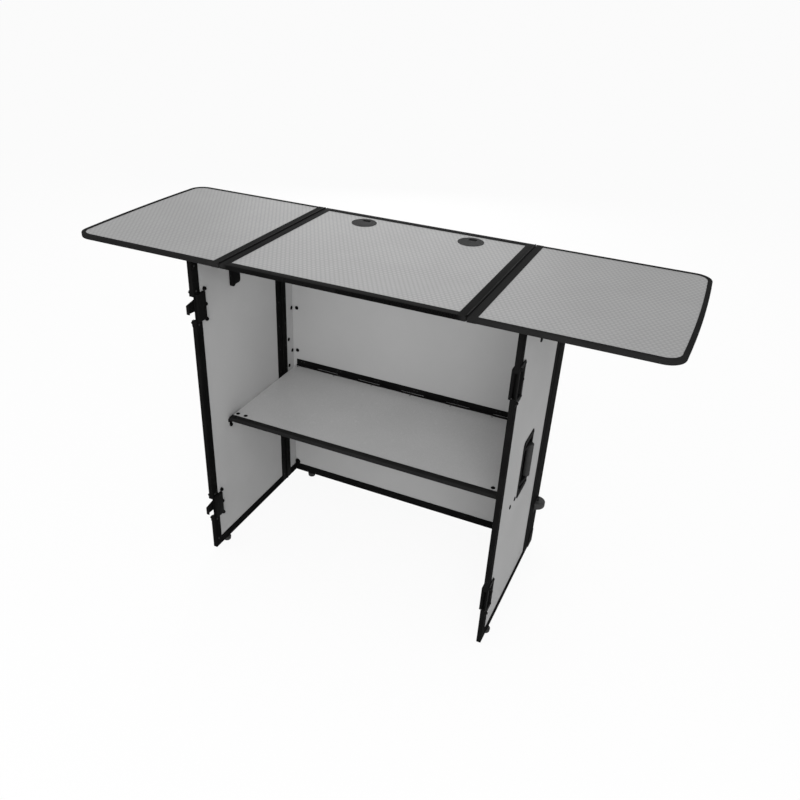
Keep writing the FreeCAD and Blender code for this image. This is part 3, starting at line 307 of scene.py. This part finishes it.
def makeDarkFinish(name, spec):
    dark, light, bare, rough, shine, scale, depth, radius = spec
    finish = Finish(bpy.data.materials.new(name))
    cloud = finish.noise(*coat["cloud"]).ease(*noiseBand)
    grain = finish.noise(scale, coat["grainDetail"]).ease(*noiseBand)
    rub = finish.noise(*coat["rub"])
    worn = finish.edge(radius) * rub.ease(*coat["wearBand"])
    mottle = cloud * coat["cloudShade"] + grain * coat["grainShade"]
    mottle = mottle + rub.ease(*coat["rubBand"]) * coat["rubShade"]
    colour = finish.blend(mottle, grey(dark), grey(light))
    dulled = rough + grain * coat["grainRough"] + cloud * coat["cloudRough"]
    return finish.close({
        "Base Color": finish.blend(worn * coat["wearShade"], colour, grey(bare)),
        "Roughness": dulled - worn * coat["wearPolish"],
        "Specular IOR Level": shine,
        "Normal": finish.relief(grain, depth, coat["reliefStrength"], radius),
    })


legFaces = [corner.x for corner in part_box("right_leg_panel")]
skin = {
    "topLaminate": makeTopLaminate(topLaminate),
    "caseLaminate": makeCaseLaminate(caseLaminate, "satinLaminate"),
    # the leg boards' finish paints shade onto their cut edges
    "legLaminate": makeCaseLaminate(caseLaminate, "legLaminate", legFaces),
    "shelfLaminate": makeCaseLaminate(caseLaminate, "shelfLaminate"),
}
for finishName, finishSpec in darkFinishes.items():
    skin[finishName] = makeDarkFinish(finishName, finishSpec)
print("finishes made:", len(skin))

skinOfSlot = {
    "top_laminate": "topLaminate",
    "case_laminate": "caseLaminate",
    "top_profile": "topProfile",
    "black_profile": "caseProfile",
    "hinge_steel": "hingeSteel",
    "black_steel": "powderCoat",
    "latch_steel": "powderCoat",
    "fastener_steel": "boltBlack",
    "rubber": "footRubber",
    "wheel_plastic": "wheelPlastic",
    "black_plastic": "portPlastic",
}
slotOf = {part["node"]: part["material_slot"] for part in frame["record"]["subparts"]}
bodies = frame["record"]["behaviour"]["bodies"]
bodyOf = {nodeName: body for body, members in bodies.items() for nodeName in members}


def dress(piece, skinName):
    piece.data.materials.clear()
    piece.data.materials.append(skin[skinName])


for nodeName, node in nodes.items():
    dress(node, skinOfSlot[slotOf[nodeName]])
for nodeName in ("left_leg_panel", "right_leg_panel", "left_return_panel", "right_return_panel"):
    dress(nodes[nodeName], "legLaminate")
dress(nodes["shelf_panel"], "shelfLaminate")


def makeActive(piece):
    bpy.ops.object.select_all(action="DESELECT")
    piece.select_set(True)
    bpy.context.view_layer.objects.active = piece


def edit(piece, kind, test, *steps):
    # picks vertices or faces by their place, then runs the operators on them
    makeActive(piece)
    mesh = piece.data
    for group in (mesh.vertices, mesh.edges, mesh.polygons):
        group.foreach_set("select", [False] * len(group))
    if kind == "VERT":
        for vertex in mesh.vertices:
            vertex.select = test(vertex.co)
    else:
        for face in mesh.polygons:
            face.select = test(face.center, face.normal)
    bpy.context.tool_settings.mesh_select_mode = (kind == "VERT", False, kind == "FACE")
    bpy.ops.object.mode_set(mode="EDIT")
    for step in steps:
        step()
    bpy.ops.object.mode_set(mode="OBJECT")


def inset(thickness, depth=0.0):
    return lambda: bpy.ops.mesh.inset(thickness=thickness, depth=depth, use_individual=True)


def resize(scale, centre):
    return lambda: bpy.ops.transform.resize(value=scale, center_override=centre)


def sliceAcross(piece, levels):
    # rings of vertices at these heights
    makeActive(piece)
    bpy.ops.object.mode_set(mode="EDIT")
    for level in levels:
        bpy.ops.mesh.select_all(action="SELECT")
        bpy.ops.mesh.bisect(plane_co=(0, 0, level), plane_no=(0, 0, 1))
    bpy.ops.object.mode_set(mode="OBJECT")


smoothAngle = math.radians(40)


def roundEdges(piece, width, segments, angle):
    # edges sharper than the angle, in degrees
    makeActive(piece)
    bevel = piece.modifiers.new("edges", "BEVEL")
    bevel.width = width
    bevel.segments = segments
    bevel.limit_method = "ANGLE"
    bevel.angle_limit = math.radians(angle)
    bpy.ops.object.modifier_apply(modifier=bevel.name)
    bpy.ops.object.shade_smooth_by_angle(angle=smoothAngle)


def settle(piece):
    makeActive(piece)
    bpy.ops.object.transform_apply(location=True, rotation=True, scale=True)
    return piece


def weld(pieces, name):
    makeActive(pieces[0])
    for piece in pieces:
        piece.select_set(True)
    if len(pieces) > 1:
        bpy.ops.object.join()
    pieces[0].name = name
    return pieces[0]


def spread(pattern, places):
    # copies of one pattern, each turned so that its Z follows the given normal
    copies = []
    for spot, normal in places:
        copy = bpy.data.objects.new(pattern.name, pattern.data.copy())
        bpy.context.scene.collection.objects.link(copy)
        turn = Vector((0, 0, 1)).rotation_difference(Vector(normal)).to_matrix().to_4x4()
        copy.data.transform(Matrix.Translation(Vector(spot)) @ turn)
        copies.append(copy)
    bpy.data.objects.remove(pattern)
    return copies


def fit(piece, body, slot, skinName, *replaced):
    dress(piece, skinName)
    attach(piece, body)
    if replaced:
        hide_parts(*replaced)


# rounding of the sharp CAD edges of profiles and hardware
softened = {
    "latch_dishes": 0.6 * mm,
    "keeper_dishes": 0.6 * mm,
    "handle_dish": 0.7 * mm,
    "handle_bail": 1.2 * mm,
    "wheel_housings": 0.8 * mm,
    "corner_protectors": 0.5 * mm,
    "left_shelf_rest": 0.4 * mm,
    "right_shelf_rest": 0.4 * mm,
    "left_top_bracket": 0.5 * mm,
    "right_top_bracket": 0.5 * mm,
    "upper_latch_tongue": 0.4 * mm,
    "lower_latch_tongue": 0.4 * mm,
    "centre_edging": 0.5 * mm,
    "left_leg_edging": 0.4 * mm,
    "right_leg_edging": 0.4 * mm,
    "audience_edging": 0.4 * mm,
    "left_return_edging": 0.4 * mm,
    "right_return_edging": 0.4 * mm,
    "corner_angles": 0.4 * mm,
    "shelf_edging": 0.4 * mm,
}
cleanUp = {"doubles": 0.002 * mm, "flatAngle": math.radians(1)}


def soften(nodeName, width):
    piece = bpy.data.objects.new(f"{nodeName}_rounded", nodes[nodeName].data.copy())
    bpy.context.scene.collection.objects.link(piece)
    makeActive(piece)
    bpy.ops.object.mode_set(mode="EDIT")
    bpy.ops.mesh.select_all(action="SELECT")
    bpy.ops.mesh.remove_doubles(threshold=cleanUp["doubles"])
    bpy.ops.mesh.dissolve_limited(angle_limit=cleanUp["flatAngle"])
    bpy.ops.object.mode_set(mode="OBJECT")
    roundEdges(piece, width, segments=2, angle=40)
    slot = slotOf[nodeName]
    fit(piece, bodyOf[nodeName], slot, skinOfSlot[slot], nodeName)


for nodeName, width in softened.items():
    soften(nodeName, width)
dress(bpy.data.objects["shelf_edging_rounded"], "topProfile")
print("hardware rounded:", len(softened))


# sizes are shares of the radius, and crownRise of the height
rivet = {
    "sides": 14,
    "height": 0.34,
    "crown": 0.3,
    "crownRise": 0.35,
    "mandrel": 0.38,
    "dip": 0.1,
    "dipWall": 0.05,
    "edge": 0.07,
}


def makeRivet(radius):
    height = radius * rivet["height"]
    bpy.ops.mesh.primitive_cylinder_add(
        vertices=rivet["sides"], radius=radius, depth=height, location=(0, 0, height / 2)
    )
    piece = settle(bpy.context.object)
    edit(
        piece,
        "FACE",
        lambda centre, normal: normal.z > square,
        inset(radius * rivet["crown"], height * rivet["crownRise"]),
        inset(radius * (1 - rivet["crown"] - rivet["mandrel"])),
        inset(radius * rivet["dipWall"], -radius * rivet["dip"]),
    )
    roundEdges(piece, radius * rivet["edge"], segments=1, angle=35)
    return piece


# skirt is a share of the height, shoulder and crown of the radius
bolt = {
    "sides": 24,
    "skirt": 0.4,
    "shoulder": 0.12,
    "crown": 0.62,
    "socket": 1.7 * mm,
    "socketWall": 0.05 * mm,
    "socketDepth": 0.9 * mm,
    "leastRim": 0.1 * mm,
    "edge": 0.12 * mm,
}
# how much wider the flanged heads are than the CAD heads
flange = {
    "corner_bolts": 1.7,
    "left_leg_screws": 1.55,
    "right_leg_screws": 1.75,
    "shelf_rivets": 1.7,
}


def makeBolt(radius, height):
    skirt = height * bolt["skirt"]
    bpy.ops.mesh.primitive_cylinder_add(
        vertices=bolt["sides"], radius=radius, depth=skirt, location=(0, 0, skirt / 2)
    )
    piece = settle(bpy.context.object)
    rise = (height - skirt) / 2
    edit(
        piece,
        "FACE",
        lambda centre, normal: normal.z > square,
        inset(radius * bolt["shoulder"], rise),
        inset(radius * (1 - bolt["shoulder"] - bolt["crown"]), rise),
        inset(max(radius * bolt["crown"] - bolt["socket"], bolt["leastRim"])),
        inset(bolt["socketWall"], -bolt["socketDepth"]),
    )
    roundEdges(piece, bolt["edge"], segments=1, angle=50)
    return piece


sameSpotDigits = 6  # decimals of a metre
sameSizeDigits = 5


def looseBoxes(nodeName):
    # the lowest and highest corners of each separate solid of a CAD node
    mesh = nodes[nodeName].data
    parent = list(range(len(mesh.vertices)))

    def root(index):
        while parent[index] != index:
            parent[index] = parent[parent[index]]
            index = parent[index]
        return index

    seen = {}
    for vertex in mesh.vertices:
        spot = tuple(round(value, sameSpotDigits) for value in vertex.co)
        parent[root(vertex.index)] = root(seen.setdefault(spot, vertex.index))
    for meshEdge in mesh.edges:
        parent[root(meshEdge.vertices[0])] = root(meshEdge.vertices[1])
    groups = {}
    for vertex in mesh.vertices:
        groups.setdefault(root(vertex.index), []).append(vertex.co)
    boxes = []
    for points in groups.values():
        low = Vector(min(point[axis] for point in points) for axis in range(3))
        high = Vector(max(point[axis] for point in points) for axis in range(3))
        boxes.append((low, high))
    return boxes


legLow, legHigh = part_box("right_leg_edging")
legMiddle = (legLow.x + legHigh.x) / 2


def headPlace(low, high):
    # a CAD head's shortest side is its axis; gives its seat, outward direction, radius and height
    size = high - low
    axis = min(range(3), key=lambda index: size[index])
    middle = (low + high) / 2
    normal = Vector((0, 0, 0))
    if axis == 0:  # heads inside the booth look inwards, the others outwards
        outward = 1 if abs(middle.x) > legMiddle else -1
        normal.x = math.copysign(1, middle.x * outward)
    elif axis == 1:
        normal.y = -1
    else:
        normal.z = 1
    seat = middle - normal * size[axis] / 2
    return seat, normal, round(max(size) / 2, sameSizeDigits), round(size[axis], sameSizeDigits)


for nodeName, wider in flange.items():
    heads = [headPlace(low, high) for low, high in looseBoxes(nodeName)]
    pieces = []
    for radius, height in sorted({head[2:] for head in heads}):
        places = [head[:2] for head in heads if head[2:] == (radius, height)]
        pieces += spread(makeBolt(radius * wider, height), places)
    fit(weld(pieces, f"{nodeName}_heads"), bodyOf[nodeName], "fastener_steel", "boltBlack", nodeName)
print("bolt heads modelled")


rivetRows = {
    "lipSetback": 12 * mm,  # on the inner lip of the front posts, round the latches and near both ends
    "lipStep": 46 * mm,
    "lipEnd": 28 * mm,
    "flangeSetback": 45.5 * mm,  # on the rear flange of the latch and keeper dishes
    "flangeStep": 42 * mm,
    "flangeProud": 1.5 * mm,
    "dishInset": (6.2 * mm, 10 * mm),  # in the corners of the handle dish
    "leafInset": 8 * mm,  # leg hinge leaves
    "leafEnd": 26 * mm,
    "leafCount": 12,
    "leafThick": 1.2 * mm,
    "pairStart": 22 * mm,  # pairs along the shelf hinge
    "pairPitch": 132 * mm,
    "pairGap": 11 * mm,
    "pairDrop": 7.4 * mm,
    "pairCount": 7,
    "headStart": 8 * mm,  # heads along the shelf's rear edge
    "headInset": 5.2 * mm,
    "profileEnd": 15 * mm,  # one at each end of the shelf's profile
    "profileInset": 8.4 * mm,
    "radius": 3.0 * mm,
    "smallRadius": 2.1 * mm,
}
rivets = {}  # places by body, finish and radius


def addRivet(body, skinName, radius, spot, normal):
    rivets.setdefault((body, skinName), {}).setdefault(radius, []).append((spot, normal))


def placeLegRivets(rows):
    levels = [sum(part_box(f"{level}_latch_key"), Vector()).z / 2 for level in ("lower", "upper")]
    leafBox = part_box("right_hinge_leg_leaf")
    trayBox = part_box("right_hinge_tray_leaf")
    leafFace = leafBox[1].x - rows["leafThick"]
    reach = leafBox[1].z - leafBox[0].z - 2 * rows["leafEnd"]
    for body, side in (("left_leg", -1), ("right_leg", 1)):
        inward, outward = (-side, 0, 0), (side, 0, 0)
        lipHeights = [legLow.z + rows["lipEnd"], legHigh.z - rows["lipEnd"]]
        flangeHeights = []
        for level in levels:
            lipHeights += [level - rows["lipStep"], level + rows["lipStep"]]
            flangeHeights += [level + step * rows["flangeStep"] for step in (-1, 0, 1)]
        for z in lipHeights:
            spot = (side * legLow.x, legLow.y + rows["lipSetback"], z)
            addRivet(body, "rivetSteel", rows["radius"], spot, inward)
        for z in flangeHeights:
            spot = (side * (legHigh.x + rows["flangeProud"]), legLow.y + rows["flangeSetback"], z)
            addRivet(body, "boltBlack", rows["radius"], spot, outward)
        for number in range(rows["leafCount"]):
            z = leafBox[0].z + rows["leafEnd"] + reach * number / (rows["leafCount"] - 1)
            spot = (side * leafFace, leafBox[0].y + rows["leafInset"], z)
            addRivet(body, "rivetSteel", rows["smallRadius"], spot, inward)
            spot = (side * leafFace, trayBox[1].y - rows["leafInset"], z)
            addRivet("tray", "rivetSteel", rows["smallRadius"], spot, inward)
    low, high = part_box("handle_dish")
    insetY, insetZ = rows["dishInset"]
    for y in (low.y + insetY, high.y - insetY):
        for z in (low.z + insetZ, high.z - insetZ):
            addRivet("right_leg", "boltBlack", rows["radius"], (high.x, y, z), (1, 0, 0))


def placeShelfRivets(rows):
    low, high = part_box("shelf_hinge_tray_leaf")
    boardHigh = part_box("shelf_panel")[1]
    for number in range(rows["pairCount"]):
        x = low.x + rows["pairStart"] + number * rows["pairPitch"]
        for shift in (-0.5, 0.5):
            spot = (x + shift * rows["pairGap"], high.y - rows["leafThick"], high.z - rows["pairDrop"])
            if spot[0] < high.x:
                addRivet("tray", "rivetSteel", rows["smallRadius"], spot, (0, -1, 0))
        x = low.x + rows["headStart"] + number * rows["pairPitch"]
        spot = (x, boardHigh.y - rows["headInset"], boardHigh.z)
        addRivet("shelf", "boltBlack", rows["smallRadius"], spot, (0, 0, 1))
    low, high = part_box("shelf_edging")
    for x in (low.x + rows["profileEnd"], high.x - rows["profileEnd"]):
        spot = (x, low.y + rows["profileInset"], high.z)
        addRivet("shelf", "boltBlack", rows["smallRadius"], spot, (0, 0, 1))


placeLegRivets(rivetRows)
placeShelfRivets(rivetRows)
for (bodyName, skinName), sizes in rivets.items():
    pieces = []
    for radius, places in sizes.items():
        pieces += spread(makeRivet(radius), places)
    fit(weld(pieces, f"{bodyName}_{skinName}"), bodyName, "fastener_steel", skinName)
print("rivets set:", sum(len(places) for sizes in rivets.values() for places in sizes.values()))


key = {
    "thickness": 4.6 * mm,
    # the butterfly's half width at shares of its half length
    "outline": ((0.0, 3.4 * mm), (0.32, 4.2 * mm), (0.6, 5.2 * mm), (0.82, 4.8 * mm), (1.0, 2.6 * mm)),
    "rounding": 0.9 * mm,
    "hub": 6.0 * mm,
    "hubSides": 28,
    "hubRise": 1.0 * mm,
    "hubEdge": 0.3 * mm,
    "dishRim": 1.6 * mm,
    "dishWall": 0.3 * mm,
    "dishDepth": 0.7 * mm,
    "stem": 4.0 * mm,
}


def makeKeyWings(face, centre, half):
    widest = max(width for share, width in key["outline"])
    bpy.ops.mesh.primitive_cube_add(size=1, location=(face + key["thickness"] / 2, centre.y, centre.z))
    wings = bpy.context.object
    wings.scale = (key["thickness"], 2 * widest, 2 * half)
    settle(wings)
    shares = [share for share, width in key["outline"][:-1]]
    sliceAcross(wings, [centre.z + side * share * half for share in shares for side in (-1, 1)])
    for share, width in key["outline"]:
        edit(
            wings,
            "VERT",
            lambda spot: abs(abs(spot.z - centre.z) - share * half) < touch,
            resize((1, width / widest, 1), (0, centre.y, 0)),
        )
    roundEdges(wings, key["rounding"], segments=3, angle=50)
    return wings


def makeKeyHub(start, end, centre):
    depth = key["hubRise"] + key["thickness"]
    bpy.ops.mesh.primitive_cylinder_add(vertices=key["hubSides"], radius=key["hub"], depth=depth)
    hub = bpy.context.object
    hub.rotation_euler.y = math.radians(90)
    hub.location = (start + depth / 2, centre.y, centre.z)
    settle(hub)
    edit(
        hub,
        "FACE",
        lambda middle, normal: normal.x < -square,
        inset(key["dishRim"]),
        inset(key["dishWall"], -key["dishDepth"]),
    )
    stemReach = (end - start - depth, 0, 0)
    edit(
        hub,
        "FACE",
        lambda middle, normal: normal.x > square and middle.x > start + depth - touch,
        inset(key["hub"] - key["stem"]),
        lambda: bpy.ops.mesh.extrude_region_move(TRANSFORM_OT_translate={"value": stemReach}),
    )
    roundEdges(hub, key["hubEdge"], segments=2, angle=50)
    return hub


def makeKey(nodeName):
    low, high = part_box(nodeName)
    centre = (low + high) / 2
    wings = makeKeyWings(low.x + key["hubRise"], centre, (high.z - low.z) / 2)
    hub = makeKeyHub(low.x, high.x, centre)
    piece = weld([wings, hub], f"{nodeName}_butterfly")
    fit(piece, bodyOf[nodeName], "black_steel", "powderCoat", nodeName)


for nodeName in ("upper_latch_key", "lower_latch_key"):
    makeKey(nodeName)
print("twist keys modelled")


grip = {
    "sides": 40,
    "grooves": 9,
    "depth": 0.7 * mm,
    "floor": 0.8 * mm,
    "mouth": 1.6 * mm,
    "end": 1.6 * mm,
}


def makeGrip(nodeName):
    low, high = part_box(nodeName)
    middle = (low + high) / 2
    radius = (high.x - low.x) / 2
    length = high.z - low.z
    bpy.ops.mesh.primitive_cylinder_add(
        vertices=grip["sides"], radius=radius, depth=length, location=middle
    )
    piece = settle(bpy.context.object)
    pitch = length / (grip["grooves"] + 1)
    levels = [low.z + pitch * (number + 1) for number in range(grip["grooves"])]
    shifts = (-grip["mouth"], -grip["floor"], grip["floor"], grip["mouth"])
    sliceAcross(piece, [level + shift for level in levels for shift in shifts])
    narrow = 1 - grip["depth"] / radius
    edit(
        piece,
        "VERT",
        lambda spot: any(abs(spot.z - level) < grip["floor"] + touch for level in levels),
        resize((narrow, narrow, 1), middle),
    )
    roundEdges(piece, grip["end"], segments=3, angle=60)
    piece.name = "handle_grip_ribbed"
    fit(piece, bodyOf[nodeName], "rubber", "gripRubber", nodeName)


makeGrip("handle_grip")


foot = {
    "sides": 36,
    "taper": 0.885,
    "rounding": 2.0 * mm,
    "recess": 4.5 * mm,
    "recessWall": 0.4 * mm,
    "depth": 3.0 * mm,
}


def makeFeet(nodeName):
    feet = []
    for low, high in looseBoxes(nodeName):
        radius = (high.x - low.x) / 2
        sole = radius * foot["taper"]
        bpy.ops.mesh.primitive_cone_add(
            vertices=foot["sides"],
            radius1=sole,
            radius2=radius,
            depth=high.z - low.z,
            location=(low + high) / 2,
        )
        piece = settle(bpy.context.object)
        roundEdges(piece, foot["rounding"], segments=3, angle=60)
        edit(
            piece,
            "FACE",
            lambda centre, normal: normal.z < -square and centre.z < low.z + touch,
            inset(sole - foot["rounding"] - foot["recess"]),
            inset(foot["recessWall"], -foot["depth"]),
        )
        feet.append(piece)
    fit(weld(feet, f"{nodeName}_moulded"), bodyOf[nodeName], "rubber", "footRubber", nodeName)


for nodeName in ("left_foot", "right_foot", "tray_feet"):
    makeFeet(nodeName)
print("grip and feet modelled")


wheel = {
    "sides": 64,
    "crown": 6.0 * mm,
    "rim": 3.0 * mm,
    "hub": 7.5 * mm,
    "bore": 3.3 * mm,
    "recess": 0.8 * mm,
    "slope": 0.6 * mm,
    "edge": 0.25 * mm,
}


def makeWheel(nodeName):
    low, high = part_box(nodeName)
    middle = (low + high) / 2
    radius = (high.x - low.x) / 2
    bpy.ops.mesh.primitive_cylinder_add(
        vertices=wheel["sides"], radius=radius, depth=high.z - low.z, location=middle
    )
    piece = settle(bpy.context.object)
    roundEdges(piece, wheel["crown"], segments=5, angle=60)
    web = radius - wheel["crown"] - wheel["rim"] - wheel["slope"]
    edit(
        piece,
        "FACE",
        lambda centre, normal: abs(normal.z) > square and (centre - middle).xy.length < touch,
        inset(wheel["rim"]),
        inset(wheel["slope"], -wheel["recess"]),
        inset(web - wheel["hub"] - wheel["slope"]),
        inset(wheel["slope"], wheel["recess"]),
        inset(wheel["hub"] - wheel["bore"]),
        lambda: bpy.ops.mesh.bridge_edge_loops(),
    )
    roundEdges(piece, wheel["edge"], segments=2, angle=50)
    piece.name = f"{nodeName}_moulded"
    fit(piece, bodyOf[nodeName], "wheel_plastic", "wheelPlastic", nodeName)


for nodeName in ("lower_wheel", "upper_wheel"):
    makeWheel(nodeName)
print("wheels modelled")


floor = {"colour": 0.9, "glow": 0.92, "size": 120, "drop": 0.2 * mm}


def seenDirectly(finish):
    path = finish.add("ShaderNodeLightPath", out="Is Camera Ray")
    return path.higher(path.sibling("Is Glossy Ray")).higher(path.sibling("Is Transmission Ray"))


def makeStage(spec):
    finish = Finish(bpy.data.materials.new("paleFloor"))
    paper = finish.add("ShaderNodeBsdfDiffuse", inputs={"Color": grey(spec["colour"])})
    white = finish.add("ShaderNodeEmission", inputs={"Color": grey(1), "Strength": 1.0})
    shares = {0: seenDirectly(finish) * spec["glow"], 1: paper, 2: white}
    finish.surface(finish.add("ShaderNodeMixShader", inputs=shares))
    bpy.ops.mesh.primitive_plane_add(size=spec["size"], location=(0, 0, -spec["drop"]))
    plane = bpy.context.object
    plane.name = "floor"
    plane.data.materials.append(finish.owner)


light = {
    "world": 0.6,
    "lamps": [
        # place, aim, size, watts: three in front, one on the left, one behind, two under the top
        ((1.6, -3.2, 1.9), (0, 0, 0.5), 2.4, 50),
        ((0.9, -2.6, 3.1), (0, 0, 0.4), 2.2, 34),
        ((0.3, -3.7, 0.35), (0, 0, 0.3), 2.2, 18),
        ((-1.3, -0.5, 2.5), (-0.5, 0, 0.9), 1.6, 6),
        ((-1.4, 3.4, 1.6), (0, 0, 0.5), 2.4, 30),
        ((-0.2, 0.06, 0.9), (-0.2, 0.1, 0.4), 0.3, 0.24),
        ((0.2, 0.06, 0.9), (0.2, 0.1, 0.4), 0.3, 0.24),
    ],
}


def makeLight(spec):
    world = bpy.data.worlds.new("studio")
    bpy.context.scene.world = world
    finish = Finish(world, "ShaderNodeOutputWorld")
    soft = finish.add("ShaderNodeBackground", inputs={"Color": grey(1), "Strength": spec["world"]})
    white = finish.add("ShaderNodeBackground", inputs={"Color": grey(1), "Strength": 1.0})
    shares = {0: seenDirectly(finish), 1: soft, 2: white}
    finish.surface(finish.add("ShaderNodeMixShader", inputs=shares))
    for number, (place, aim, size, watts) in enumerate(spec["lamps"]):
        lamp = bpy.data.lights.new(f"softbox{number}", "AREA")
        lamp.shape = "DISK"
        lamp.size = size
        lamp.energy = watts
        holder = bpy.data.objects.new(lamp.name, lamp)
        holder.location = place
        holder.rotation_euler = (Vector(aim) - Vector(place)).to_track_quat("-Z", "Y").to_euler()
        holder.visible_camera = False
        bpy.context.scene.collection.objects.link(holder)


# solved from the straight edges of the booth in the photograph
camera = {
    "place": (0.784808, -1.748711, 1.622104),
    "right": (0.90289, 0.42856, 0.03347),
    "down": (0.25286, -0.46653, -0.84759),
    "forward": (-0.34763, 0.77375, -0.52959),
    "sensor": 36,
    "lens": 35.911,
    "shift": (0.0279, 0.03976),
    "reach": 200,
}


def makeCamera(spec):
    view = bpy.data.cameras.new("photoView")
    view.sensor_width = spec["sensor"]
    view.lens = spec["lens"]
    view.shift_x, view.shift_y = spec["shift"]
    view.clip_end = spec["reach"]
    holder = bpy.data.objects.new("photoView", view)
    columns = [Vector(spec["right"]), -Vector(spec["down"]), -Vector(spec["forward"])]
    turn = Matrix(columns).transposed().to_4x4()
    holder.matrix_world = Matrix.Translation(Vector(spec["place"])) @ turn
    bpy.context.scene.collection.objects.link(holder)
    bpy.context.scene.camera = holder


makeStage(floor)
makeLight(light)
makeCamera(camera)
bpy.context.scene.view_settings.view_transform = "Standard"
print("stage, light and camera set")
